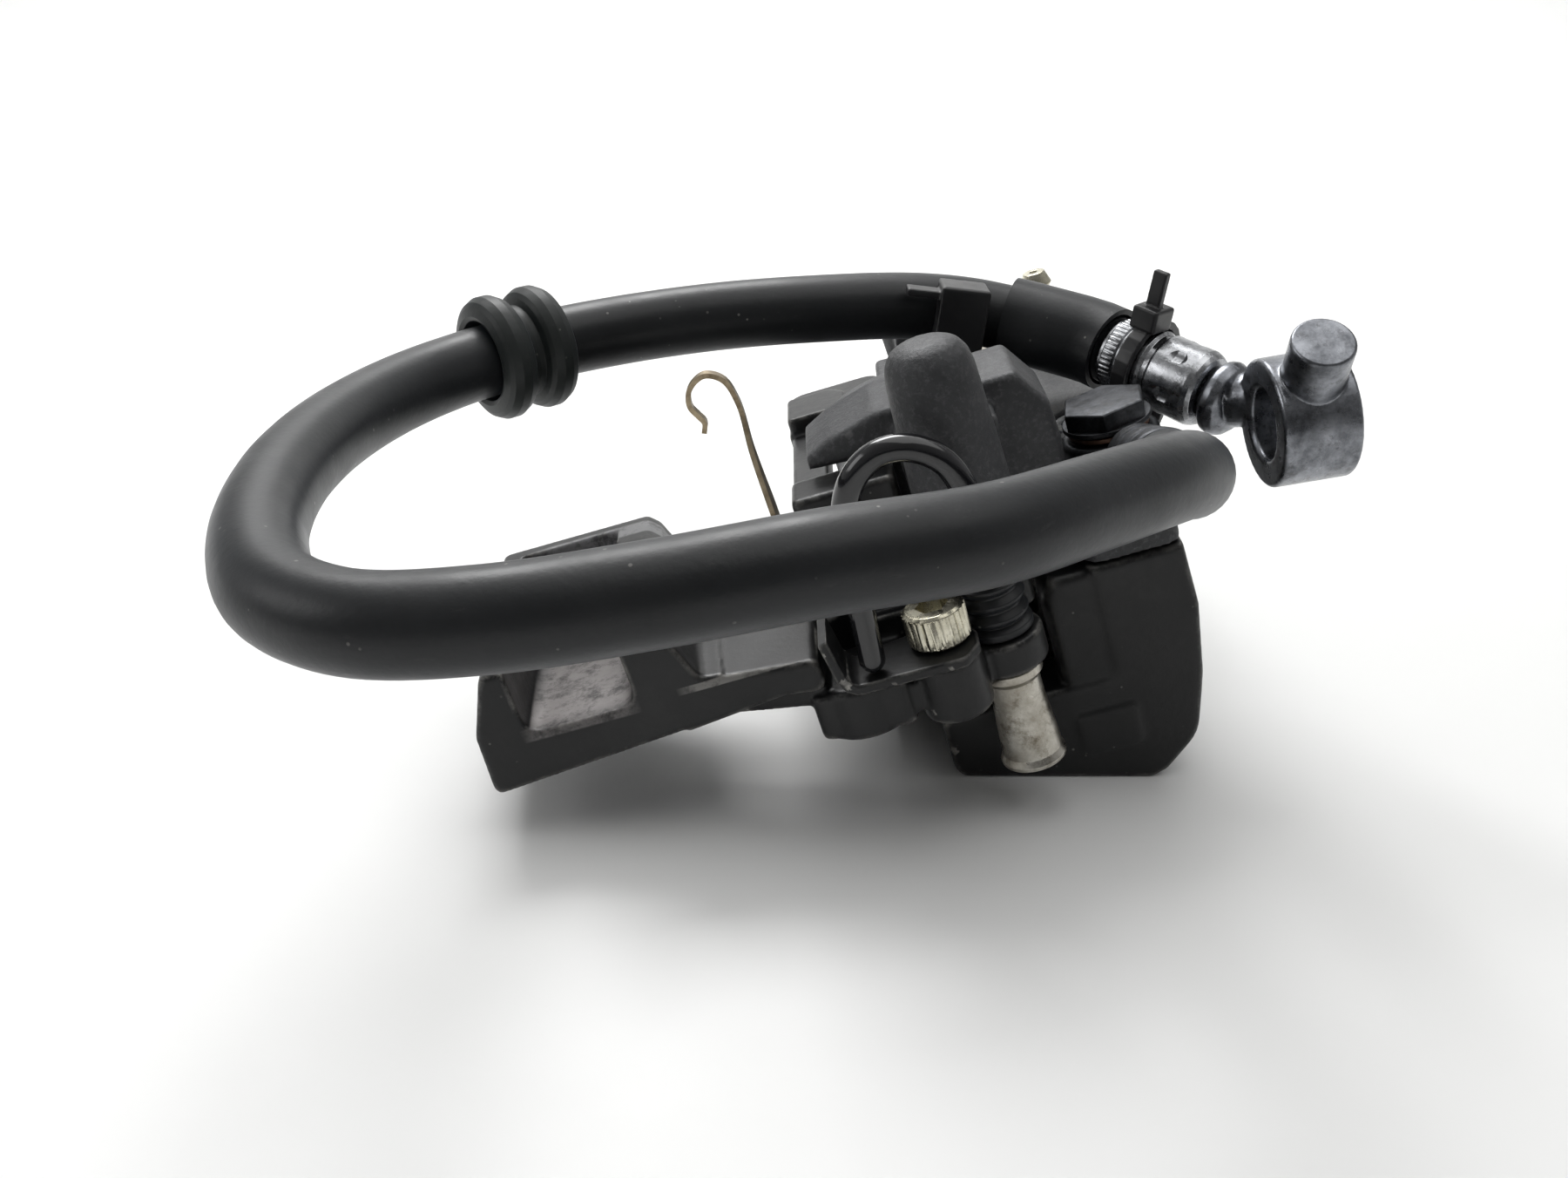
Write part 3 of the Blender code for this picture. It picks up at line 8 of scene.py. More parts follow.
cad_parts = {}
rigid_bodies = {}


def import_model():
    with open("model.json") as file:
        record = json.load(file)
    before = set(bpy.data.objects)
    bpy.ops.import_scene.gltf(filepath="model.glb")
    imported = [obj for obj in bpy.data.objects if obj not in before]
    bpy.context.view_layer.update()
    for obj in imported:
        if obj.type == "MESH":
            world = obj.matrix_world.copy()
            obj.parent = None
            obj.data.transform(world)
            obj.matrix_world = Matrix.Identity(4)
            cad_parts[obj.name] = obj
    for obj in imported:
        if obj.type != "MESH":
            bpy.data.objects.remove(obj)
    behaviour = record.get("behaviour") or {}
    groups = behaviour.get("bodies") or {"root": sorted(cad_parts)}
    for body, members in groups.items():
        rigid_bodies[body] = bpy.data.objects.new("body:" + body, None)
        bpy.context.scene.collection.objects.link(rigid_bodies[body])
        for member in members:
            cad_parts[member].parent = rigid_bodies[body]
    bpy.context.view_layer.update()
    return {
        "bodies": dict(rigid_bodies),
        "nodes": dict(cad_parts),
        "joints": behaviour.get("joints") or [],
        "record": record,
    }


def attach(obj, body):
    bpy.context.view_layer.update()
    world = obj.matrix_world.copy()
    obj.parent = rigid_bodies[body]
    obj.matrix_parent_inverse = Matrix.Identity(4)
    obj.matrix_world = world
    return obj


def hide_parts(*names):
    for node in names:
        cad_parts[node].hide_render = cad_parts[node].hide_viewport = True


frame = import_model()
NAMES = {}
FIXED_SIDES = 0

# ---------------------------------------------------------------- driving dimensions (mm)
MM = 0.001
GAP = 0.3                       # clearance between neighbouring pieces
LEAN = math.radians(17.0)       # lean of the axle axis in the resting pose
PIVOT = (25.0, 235.0, 20.0)     # axle-frame origin in the set-out frame
SHIFT = (-7.755, -232.4, 0.0)         # set-out frame to row frame

BODY_HALF_LEN = 43.0            # half length of the caliper body along y
BRIDGE_X0, BRIDGE_X1 = 20.0, 33.4
PARTING_Z = 8.0                 # joint plane between the two halves
FLANGE_TOP_Z = 16.6
PISTON_X, PISTON_R = 4.0, 12.65
BORE_R = 12.7
BORE_Z0, BORE_Z1 = 13.7, 22.2
HOUSING_R, HOUSING_TOP = 16.0, 25.6
SEAL_Z0, SEAL_Z1, SEAL_R = 15.7, 17.1, 14.5
DUST_Z0, DUST_Z1, DUST_R = 14.2, 15.2, 14.1

PIN_X, PIN_Y = 6.25, 50.0       # slide-pin axes at (PIN_X, -PIN_Y) and (PIN_X, +PIN_Y)
PIN_R = 3.0
BOSS_R, BOSS_Z0, BOSS_TOP = 6.3, 16.6, 48.0
EYE_R, EYE_Z0, EYE_Z1 = 5.7, 1.5, 6.3
SLEEVE_Z0, SLEEVE_Z1 = -14.3, 1.2

SLOT_Z0, SLOT_Z1 = -4.5, 2.5   # free space for the disc
PAD_X0, PAD_X1, PAD_HALF = -13.0, 17.4, 32.2
PLATE_T, LINING_T = 3.6, 3.0
STROKE = 4.8                    # piston travel from fully back
BANJO_X, BANJO_Y = 29.2, -23.0  # inlet
BANJO_SEAT = 11.6               # step in the flange that the inlet fitting stands on
BOLT_X, BOLT_YS = 26.7, (-8.6, 36.5)   # body bolts, front and rear
REAR_TOP = 29.0                 # top of the short rear boss
SLOPE = ((7.0, 30.6), (21.5, 22.6))   # top of the housing under the hose

HOSE_R = 5.25
SLEEVE_R = 6.6
FERRULE_R = 5.9
EYE_OD_R, EYE_ID_R, EYE_T = 9.15, 5.1, 11.0
STOP_PIN_R = 4.35
WIRE_R = 1.75
STAY_T = 1.5
BOLT_R, BOLT_HEAD_R, BOLT_HEAD_H = 2.4, 4.25, 5.0

# ---------------------------------------------------------------- frames
SET_OUT = Matrix.Translation(Vector(SHIFT))
AXLE = SET_OUT @ Matrix.Translation(Vector(PIVOT)) @ Matrix.Rotation(-LEAN, 4, 'Y')


def base_z(x):
    """Height in the axle frame of the table plane under axle-frame x."""
    return -(PIVOT[2] + x * math.sin(LEAN)) / math.cos(LEAN)


# ---------------------------------------------------------------- materials
class Nodes:
    """A few lines to build a procedural material."""

    def __init__(self, name):
        self.mat = bpy.data.materials.new(name)
        self.mat.use_nodes = True
        self.tree = self.mat.node_tree
        self.shader = self.tree.nodes["Principled BSDF"]
        self.coord = self.tree.nodes.new("ShaderNodeTexCoord")

    def new(self, kind, **inputs):
        node = self.tree.nodes.new(kind)
        for key, value in inputs.items():
            node.inputs[key.replace("_", " ")].default_value = value
        return node

    def link(self, a, b):
        self.tree.links.new(a, b)

    def noise(self, scale, detail=4.0, rough=0.6, stretch=None):
        node = self.new("ShaderNodeTexNoise", Scale=scale, Detail=detail, Roughness=rough)
        if stretch:
            mapping = self.new("ShaderNodeMapping", Scale=stretch)
            self.link(self.coord.outputs["Object"], mapping.inputs["Vector"])
            self.link(mapping.outputs["Vector"], node.inputs["Vector"])
        else:
            self.link(self.coord.outputs["Object"], node.inputs["Vector"])
        return node.outputs["Fac"]

    def cells(self, scale, feature='F1'):
        node = self.new("ShaderNodeTexVoronoi", Scale=scale)
        node.feature = feature
        self.link(self.coord.outputs["Object"], node.inputs["Vector"])
        return node.outputs["Distance"]

    def pointed(self, low, high):
        geometry = self.tree.nodes.new("ShaderNodeNewGeometry")
        return self.ramp(geometry.outputs["Pointiness"], [(low, 0.0), (high, 1.0)])

    def ramp(self, value, stops):
        node = self.tree.nodes.new("ShaderNodeValToRGB")
        band = node.color_ramp
        while len(band.elements) < len(stops):
            band.elements.new(0.5)
        for element, (place, shade) in zip(band.elements, stops):
            element.position = place
            element.color = (shade, shade, shade, 1.0) if isinstance(shade, (int, float)) else (*shade, 1.0)
        self.link(value, node.inputs["Fac"])
        return node.outputs["Color"]

    def mix(self, amount, a, b):
        node = self.tree.nodes.new("ShaderNodeMix")
        node.data_type = 'RGBA'
        for socket, value in ((node.inputs["Factor"], amount), (node.inputs["A"] if False else node.inputs[6], a), (node.inputs[7], b)):
            if hasattr(value, "links"):
                self.link(value, socket)
            elif isinstance(value, (int, float)):
                socket.default_value = value
            else:
                socket.default_value = (*value, 1.0)
        return node.outputs[2]

    def times(self, a, b):
        node = self.tree.nodes.new("ShaderNodeMath")
        node.operation = 'MULTIPLY'
        for socket, value in zip(node.inputs, (a, b)):
            if hasattr(value, "links"):
                self.link(value, socket)
            else:
                socket.default_value = value
        return node.outputs[0]

    def patch(self, centre, half, turn, soft=0.25):
        """1 inside a box given in the axle frame (mm), 0 outside, with a soft edge."""
        move = self.new("ShaderNodeMapping")
        move.vector_type = 'TEXTURE'
        move.inputs["Location"].default_value = [c * 0.001 for c in (turn.to_3x3() @ Vector(centre))]
        move.inputs["Rotation"].default_value = turn.to_euler()
        move.inputs["Scale"].default_value = [h * 0.001 for h in half]
        self.link(self.coord.outputs["Object"], move.inputs["Vector"])
        apart = self.tree.nodes.new("ShaderNodeSeparateXYZ")
        self.link(move.outputs["Vector"], apart.inputs["Vector"])
        inside = None
        for axis in "XYZ":
            size = self.tree.nodes.new("ShaderNodeMath")
            size.operation = 'ABSOLUTE'
            self.link(apart.outputs[axis], size.inputs[0])
            band = self.new("ShaderNodeMapRange")
            band.inputs["From Min"].default_value = 1.0
            band.inputs["From Max"].default_value = 1.0 - soft
            self.link(size.outputs[0], band.inputs["Value"])
            inside = band.outputs["Result"] if inside is None else self.times(inside, band.outputs["Result"])
        return inside

    def bump(self, height, strength, distance):
        node = self.new("ShaderNodeBump", Strength=strength, Distance=distance)
        self.link(height, node.inputs["Height"])
        self.link(node.outputs["Normal"], self.shader.inputs["Normal"])

    def colour(self, value):
        self.link(value, self.shader.inputs["Base Color"])

    def rough(self, value):
        self.link(value, self.shader.inputs["Roughness"])

    def metal(self, value):
        if hasattr(value, "links"):
            self.link(value, self.shader.inputs["Metallic"])
        else:
            self.shader.inputs["Metallic"].default_value = value

    def set(self, **values):
        for key, value in values.items():
            self.shader.inputs[key.replace("_", " ")].default_value = value


def painted(name, base, light, rough, wear, dust=0.35, bare_and_highlit=()):
    """Black paint on a casting: fine orange peel, specks of dust, brighter worn edges, and listed lighter patches: bare
    metal, and a painted highlight along one edge.
    """
    m = Nodes(name)
    cloud = m.ramp(m.noise(55.0, 6.0, 0.65), [(0.35, base), (0.75, light)])
    specks = m.ramp(m.cells(420.0), [(0.05, 1.0), (0.11, 0.0)])
    where = m.ramp(m.noise(160.0, 3.0), [(0.52, 0.0), (0.66, 1.0)])
    dusty = m.mix(m.times(m.times(specks, where), dust), cloud, (0.34, 0.33, 0.31))
    film = m.ramp(m.noise(28.0, 8.0, 0.7), [(0.55, 0.0), (0.85, 1.0)])
    dusty = m.mix(m.times(film, 0.10), dusty, (0.2, 0.19, 0.18))
    edge = m.times(m.pointed(0.515, 0.57), m.ramp(m.noise(240.0, 5.0, 0.7), [(0.42, 0.0), (0.6, 1.0)]))
    worn = m.mix(m.times(edge, wear), dusty, (0.32, 0.31, 0.29))
    # lighter patches: bare metal, and one painted highlight along an edge
    for centre, half, tone, amount in bare_and_highlit:
        ragged_mask = m.ramp(m.noise(330.0, 7.0, 0.75), [(0.36, 0.25), (0.52, 1.0)])
        bare_and_highlight_tone = m.ramp(m.noise(190.0, 6.0, 0.7), [(0.3, tone), (0.75, tuple(0.68 * c for c in tone))])
        worn = m.mix(m.times(m.times(m.patch(centre, half, Matrix.Rotation(-LEAN, 4, 'Y')), ragged_mask), amount), worn, bare_and_highlight_tone)
    m.colour(worn)
    m.rough(m.ramp(m.noise(75.0, 6.0, 0.7), [(0.3, rough - 0.09), (0.75, rough + 0.13)]))
    m.metal(m.times(edge, 0.75 * wear))
    m.set(Specular_IOR_Level=0.38)
    m.bump(m.noise(900.0, 3.0, 0.6), 0.10, 0.0004)
    return m.mat


def casting():
    """Grey grainy aluminium casting."""
    m = Nodes("grey_cast")
    grain = m.noise(1300.0, 4.0, 0.75)
    cloud = m.ramp(m.noise(60.0, 6.0, 0.7), [(0.3, (0.032, 0.033, 0.035)), (0.75, (0.070, 0.071, 0.075))])
    sparkle = m.ramp(grain, [(0.5, 0.0), (0.72, 1.0)])
    body = m.mix(m.times(sparkle, 0.32), cloud, (0.20, 0.20, 0.205))
    edge = m.times(m.pointed(0.53, 0.60), m.ramp(m.noise(300.0, 4.0), [(0.4, 0.0), (0.62, 1.0)]))
    m.colour(m.mix(m.times(edge, 0.55), body, (0.30, 0.30, 0.30)))
    m.rough(m.ramp(m.noise(110.0, 5.0, 0.7), [(0.3, 0.44), (0.75, 0.66)]))
    m.metal(0.35)
    m.bump(grain, 0.32, 0.0005)
    return m.mat


def metal(name, dark, light, low, high, scale=120.0, stain=None, brush=None):
    """Bare or plated steel, mottled with tarnish."""
    m = Nodes(name)
    cloud = m.ramp(m.noise(scale, 8.0, 0.72), [(0.34, dark), (0.62, light)])
    if stain:
        spots = m.ramp(m.noise(scale * 2.4, 7.0, 0.75), [(0.52, 0.0), (0.66, 1.0)])
        cloud = m.mix(m.times(spots, 0.75), cloud, stain)
    m.colour(cloud)
    m.rough(m.ramp(m.noise(scale * 1.7, 7.0, 0.7), [(0.3, low), (0.72, high)]))
    m.metal(1.0)
    m.bump(m.noise(700.0, 4.0, 0.6, brush), 0.12, 0.0003)
    return m.mat


def rubber(name, base, light, rough, dust=0.25):
    """Matt black rubber with a faint blue-grey bloom, scuffs and dust."""
    m = Nodes(name)
    cloud = m.ramp(m.noise(38.0, 7.0, 0.7), [(0.32, base), (0.78, light)])
    scuffs = m.ramp(m.noise(140.0, 8.0, 0.8, (1.0, 1.0, 3.5)), [(0.60, 0.0), (0.74, 1.0)])
    cloud = m.mix(m.times(scuffs, 0.22), cloud, (0.085, 0.082, 0.078))
    specks = m.times(m.ramp(m.cells(430.0), [(0.06, 1.0), (0.11, 0.0)]), m.ramp(m.noise(110.0, 3.0), [(0.50, 0.0), (0.60, 1.0)]))
    m.colour(m.mix(m.times(specks, dust), cloud, (0.32, 0.31, 0.29)))
    m.rough(m.ramp(m.noise(90.0, 6.0, 0.7), [(0.3, rough - 0.07), (0.75, rough + 0.10)]))
    m.set(Specular_IOR_Level=0.34, Sheen_Weight=0.03, Sheen_Roughness=0.5, Sheen_Tint=(0.75, 0.85, 1.0, 1.0))
    m.bump(m.noise(1100.0, 3.0, 0.6), 0.10, 0.0003)
    return m.mat


def plastic(name, base, rough, coat):
    """Moulded or dipped black plastic."""
    m = Nodes(name)
    m.colour(m.ramp(m.noise(130.0, 5.0, 0.6), [(0.35, base), (0.8, tuple(c * 1.9 + 0.004 for c in base))]))
    m.rough(m.ramp(m.noise(200.0, 5.0, 0.6), [(0.3, rough - 0.04), (0.75, rough + 0.08)]))
    m.set(Coat_Weight=coat, Coat_Roughness=0.08)
    m.bump(m.noise(600.0, 3.0, 0.5), 0.06, 0.0003)
    return m.mat


def friction():
    """Sintered friction material: dark with bright flecks."""
    m = Nodes("friction")
    flecks = m.ramp(m.cells(900.0), [(0.10, 1.0), (0.22, 0.0)])
    cloud = m.ramp(m.noise(260.0, 6.0, 0.75), [(0.35, (0.05, 0.045, 0.04)), (0.7, (0.13, 0.12, 0.105))])
    m.colour(m.mix(m.times(flecks, 0.5), cloud, (0.38, 0.30, 0.2)))
    m.rough(m.ramp(m.noise(500.0, 4.0), [(0.3, 0.75), (0.7, 0.95)]))
    m.bump(m.noise(1400.0, 4.0, 0.75), 0.4, 0.0004)
    return m.mat


BLACK_PAINT = painted("black_paint", (0.0045, 0.0047, 0.0052), (0.0105, 0.0106, 0.0112), 0.40, 0.9)
CARRIER_PAINT = painted("carrier_paint", (0.0045, 0.0047, 0.0052), (0.0105, 0.0106, 0.0112), 0.38, 1.0, 0.5, bare_and_highlit=(
    ((-50.0, -40.0, 13.8), (8.4, 21.0, 1.1), (0.36, 0.335, 0.33), 1.0),
    # painted highlight along the beam's front top edge, partly a worn edge
    ((-27.0, -58.9, 14.2), (9.5, 0.6, 0.6), (0.36, 0.35, 0.33), 0.6),
    ((-45.0, -20.5, 20.0), (15.0, 2.4, 9.0), (0.34, 0.34, 0.35), 0.8)))
GREY_CAST = casting()
STEEL = metal("bare_steel", (0.30, 0.27, 0.22), (0.66, 0.64, 0.58), 0.20, 0.46, 130.0, stain=(0.14, 0.115, 0.08))
ZINC = metal("zinc_plate", (0.50, 0.47, 0.36), (0.78, 0.75, 0.62), 0.18, 0.38, 150.0, stain=(0.26, 0.24, 0.18))
DARK_STEEL = metal("dark_zinc", (0.10, 0.105, 0.115), (0.30, 0.31, 0.335), 0.20, 0.44, 210.0, stain=(0.07, 0.07, 0.072))
RUBBER = rubber("rubber", (0.0080, 0.0086, 0.0096), (0.0175, 0.0187, 0.0205), 0.39, 0.5)
FERRULE_ZINC = metal("ferrule_zinc", (0.20, 0.205, 0.215), (0.50, 0.51, 0.53), 0.16, 0.36, 240.0, stain=(0.09, 0.09, 0.09))
GROMMET = rubber("grommet_rubber", (0.0085, 0.0105, 0.0100), (0.020, 0.0235, 0.0225), 0.46)
# painted shade: a darkened copy of the ferrule zinc for the caliper-end banjo, banjo bolt and ferrule, which sit in
# shade; the spots are tarnish
SHADE_AND_TARNISH_ZINC = metal("zinc_shade_and_tarnish", (0.018, 0.019, 0.021), (0.085, 0.088, 0.095), 0.34, 0.62, 230.0, stain=(0.03, 0.028, 0.026))
NYLON = plastic("black_nylon", (0.010, 0.010, 0.011), 0.34, 0.0)
GLOSS_BLACK = plastic("gloss_black", (0.006, 0.006, 0.007), 0.12, 0.35)
SPRING = metal("spring_steel", (0.16, 0.12, 0.075), (0.46, 0.38, 0.26), 0.26, 0.48, 200.0)
FRICTION = friction()
COPPER = metal("copper", (0.07, 0.045, 0.035), (0.22, 0.13, 0.09), 0.35, 0.6, 160.0)


# ---------------------------------------------------------------- mesh helpers
def put(name, bm, mat=None, frame=AXLE, origin=(0.0, 0.0, 0.0), smooth=35.0):
    """Turn a bmesh in millimetres into an object whose origin is at the given frame point."""
    bmesh.ops.remove_doubles(bm, verts=bm.verts, dist=0.0005)
    bmesh.ops.recalc_face_normals(bm, faces=bm.faces)
    mesh = bpy.data.meshes.new(name)
    pivot = frame @ Vector(origin)
    for v in bm.verts:
        v.co = frame @ v.co - pivot
    bm.to_mesh(mesh)
    bm.free()
    ob = bpy.data.objects.new("look_" + name, mesh)
    NAMES[ob.name] = name
    ob.location = pivot
    bpy.context.scene.collection.objects.link(ob)
    if mat:
        mesh.materials.append(mat)
    shade(ob, smooth)
    return ob


def shade(ob, angle):
    """Smooth shading on every face, sharp where faces meet at more than the angle."""
    bm = bmesh.new()
    bm.from_mesh(ob.data)
    limit = math.radians(angle)
    for f in bm.faces:
        f.smooth = True
    for e in bm.edges:
        e.smooth = len(e.link_faces) == 2 and e.calc_face_angle(0.0) < limit
    bm.to_mesh(ob.data)
    bm.free()


def split(ob):
    """Split every face into triangles, so the Boolean reads flat faces only."""
    bm = bmesh.new()
    bm.from_mesh(ob.data)
    bmesh.ops.remove_doubles(bm, verts=bm.verts, dist=0.0001)
    bmesh.ops.triangulate(bm, faces=bm.faces)
    bm.to_mesh(ob.data)
    bm.free()


def combine(base, tool, operation):
    """Boolean of two objects; the tool is used up."""
    split(base)
    split(tool)
    tool.hide_render = True
    tool.display_type = 'WIRE'
    mod = base.modifiers.new(operation.title(), 'BOOLEAN')
    mod.operation = operation
    mod.solver = 'EXACT'
    mod.object = tool
    bpy.context.view_layer.update()
    graph = bpy.context.evaluated_depsgraph_get()
    mesh = bpy.data.meshes.new_from_object(base.evaluated_get(graph))
    base.modifiers.clear()
    old = base.data
    mesh.name = base.name
    base.data = mesh
    bpy.data.meshes.remove(old)
    bpy.data.objects.remove(tool, do_unlink=True)
    return base


def add(base, *tools):
    for tool in tools:
        combine(base, tool, 'UNION')
    return base


def cut(base, *tools):
    for tool in tools:
        combine(base, tool, 'DIFFERENCE')
    return base


CAST = {"caliper_outer": (0.42, 5), "caliper_inner": (0.42, 5), "carrier_bracket": (0.36, 3), "banjo_free": (0.2, 4), "banjo_caliper": (0.25, 4), "stay_plate": (0.2, 2), "hose_clip": (0.2, 2), "zip_tie": (0.16, 2)}


def applied(ob):
    """The object's mesh with its modifiers applied."""
    bpy.context.view_layer.update()
    mesh = bpy.data.meshes.new_from_object(ob.evaluated_get(bpy.context.evaluated_depsgraph_get()))
    ob.modifiers.clear()
    ob.data = mesh
    return ob


def finish(ob, mat, smooth=35.0):
    """Join a Boolean result's edges as the real piece has them: cast and moulded pieces flow, machined ones are broken."""
    split(ob)
    name = NAMES[ob.name]
    if name in CAST:
        voxel, rounds = CAST[name]
        remesh = ob.modifiers.new("cast", 'REMESH')
        remesh.mode = 'VOXEL'
        remesh.voxel_size = voxel * 1.0
        remesh.adaptivity = 0.0
        remesh.use_smooth_shade = True
        flow = ob.modifiers.new("flow", 'SMOOTH')
        flow.factor = 0.5
        flow.iterations = rounds
        applied(ob)
        thin = ob.modifiers.new("thin", 'DECIMATE')
        thin.ratio = 0.35
        applied(ob)
        smooth = 60.0
    else:
        edge = ob.modifiers.new("edge", 'BEVEL')
        edge.width = 0.14
        edge.segments = 2
        edge.limit_method = 'ANGLE'
        edge.angle_limit = math.radians(30.0)
        applied(ob)
    ob.data.materials.clear()
    ob.data.materials.append(mat)
    shade(ob, smooth)
    return ob


def rounded(points, radius, steps=3):
    """Polygon with each corner rounded; radius is one number or one per corner."""
    steps = max(steps, 6)
    n = len(points)
    radii = [radius] * n if isinstance(radius, (int, float)) else list(radius)
    out = []
    for i in range(n):
        p = Vector(points[i])
        a = Vector(points[i - 1]) - p
        b = Vector(points[(i + 1) % n]) - p
        r = radii[i]
        if r <= 0.0:
            out.append(tuple(p))
            continue
        half = a.angle(b) / 2.0
        back = min(r / math.tan(half), 0.48 * a.length, 0.48 * b.length)
        p0, p1 = p + a.normalized() * back, p + b.normalized() * back
        for k in range(steps + 1):
            t = k / steps
            q = p0 * (1 - t) ** 2 + p * 2 * t * (1 - t) + p1 * t ** 2
            out.append(tuple(q))
    return out


def prism(points, low, high, axis='z', bevel=0.0, segments=3):
    """Closed bmesh of a polygon pushed along an axis, with its two end rims bevelled."""
    segments = max(segments, 3)
    place = {'z': lambda u, v, w: (u, v, w), 'y': lambda u, v, w: (u, w, v), 'x': lambda u, v, w: (w, u, v)}[axis]
    bm = bmesh.new()
    lower = [bm.verts.new(place(p[0], p[1], low)) for p in points]
    upper = [bm.verts.new(place(p[0], p[1], high)) for p in points]
    ends = [bm.faces.new(lower), bm.faces.new(list(reversed(upper)))]
    n = len(points)
    for i in range(n):
        j = (i + 1) % n
        bm.faces.new((lower[i], upper[i], upper[j], lower[j]))
    bmesh.ops.recalc_face_normals(bm, faces=bm.faces)
    if bevel > 0.0:
        rims = list({e for f in ends for e in f.edges})
        bmesh.ops.bevel(bm, geom=rims, offset=bevel, segments=segments, profile=0.5, affect='EDGES', clamp_overlap=True)
    return bm


def box(x0, x1, y0, y1, z0, z1, bevel=0.0):
    bm = prism([(x0, y0), (x1, y0), (x1, y1), (x0, y1)], z0, z1)
    if bevel > 0.0:
        bmesh.ops.bevel(bm, geom=list(bm.edges), offset=bevel, segments=2, profile=0.5, affect='EDGES', clamp_overlap=True)
    return bm


def circle(cx, cy, r, n=24, start=0.0):
    n = n if n == 6 else max(n, 64)
    return [(cx + r * math.cos(start + 2 * math.pi * k / n), cy + r * math.sin(start + 2 * math.pi * k / n)) for k in range(n)]


def disc(cx, cy, r, z0, z1, n=22, bevel=0.0):
    return prism(circle(cx, cy, r, n), z0, z1, bevel=bevel)


def lathe(profile, n=32, centre=(0.0, 0.0, 0.0), direction=(0.0, 0.0, 1.0)):
    """Solid of revolution. profile is a closed list of (radius, height), its corners slightly rounded."""
    n = FIXED_SIDES or 72
    profile = rounded(profile, [0.0 if p[0] < 1e-6 else 0.22 for p in profile], 4)
    turn = Vector((0, 0, 1)).rotation_difference(Vector(direction).normalized()).to_matrix()
    middle = Vector(centre)
    bm = bmesh.new()
    rings = []
    for r, h in profile:
        if r < 1e-6:
            v = bm.verts.new(middle + turn @ Vector((0, 0, h)))
            rings.append([v] * n)
        else:
            rings.append([bm.verts.new(middle + turn @ Vector((r * math.cos(2 * math.pi * k / n), r * math.sin(2 * math.pi * k / n), h)))
                          for k in range(n)])
    for i in range(len(profile)):
        a, b = rings[i], rings[(i + 1) % len(profile)]
        for k in range(n):
            m = (k + 1) % n
            corners = []
            for v in (a[k], a[m], b[m], b[k]):
                if v not in corners:
                    corners.append(v)
            if len(corners) > 2:
                bm.faces.new(corners)
    return bm


def smooth_route(points, count, closed=False):
    """Evenly spaced points on a centripetal Catmull-Rom curve through the route's points."""
    pts = [Vector(p) for p in points]
    if closed:
        pts = [pts[-1]] + pts + [pts[0], pts[1]]
    else:
        pts = [pts[0] * 2 - pts[1]] + pts + [pts[-1] * 2 - pts[-2]]
    fine = []
    for i in range(1, len(pts) - 2):
        p0, p1, p2, p3 = pts[i - 1:i + 3]
        t0 = 0.0
        t1 = t0 + (p1 - p0).length ** 0.5
        t2 = t1 + (p2 - p1).length ** 0.5
        t3 = t2 + (p3 - p2).length ** 0.5
        for k in range(24):
            t = t1 + (t2 - t1) * k / 24.0
            a1 = p0 * ((t1 - t) / (t1 - t0)) + p1 * ((t - t0) / (t1 - t0))
            a2 = p1 * ((t2 - t) / (t2 - t1)) + p2 * ((t - t1) / (t2 - t1))
            a3 = p2 * ((t3 - t) / (t3 - t2)) + p3 * ((t - t2) / (t3 - t2))
            b1 = a1 * ((t2 - t) / (t2 - t0)) + a2 * ((t - t0) / (t2 - t0))
            b2 = a2 * ((t3 - t) / (t3 - t1)) + a3 * ((t - t1) / (t3 - t1))
            fine.append(b1 * ((t2 - t) / (t2 - t1)) + b2 * ((t - t1) / (t2 - t1)))
    fine.append(pts[-2])
    run = [0.0]
    for a, b in zip(fine, fine[1:]):
        run.append(run[-1] + (b - a).length)
    out = []
    j = 0
    steps = count if closed else count - 1
    for k in range(count):
        want = run[-1] * k / steps
        while j < len(run) - 2 and run[j + 1] < want:
            j += 1
        span = run[j + 1] - run[j]
        out.append(fine[j].lerp(fine[j + 1], (want - run[j]) / span if span > 0 else 0.0))
    return out


def sweep(points, section, up, closed=False):
    """Closed body of a section (list of (across, up) pairs, or a function of 0..1) swept along points."""
    up = Vector(up)
    bm = bmesh.new()
    rings = []
    n = len(points)
    for i, p in enumerate(points):
        if closed:
            t = (points[(i + 1) % n] - points[i - 1]).normalized()
        else:
            t = (points[min(i + 1, n - 1)] - points[max(i - 1, 0)]).normalized()
        side = t.cross(up).normalized()
        rise = side.cross(t).normalized()
        shape = section(i / (n - 1)) if callable(section) else section
        rings.append([bm.verts.new(p + side * a + rise * b) for a, b in shape])
    m = len(rings[0])
    pairs = list(zip(rings, rings[1:])) + ([(rings[-1], rings[0])] if closed else [])
    for a, b in pairs:
        for k in range(m):
            j = (k + 1) % m
            bm.faces.new((a[k], a[j], b[j], b[k]))
    if not closed:
        bm.faces.new(rings[0])
        bm.faces.new(list(reversed(rings[-1])))
    return bm


def tube_along(points, outer, inner, n=24):
    return _tube_along(points, outer, inner, 64)


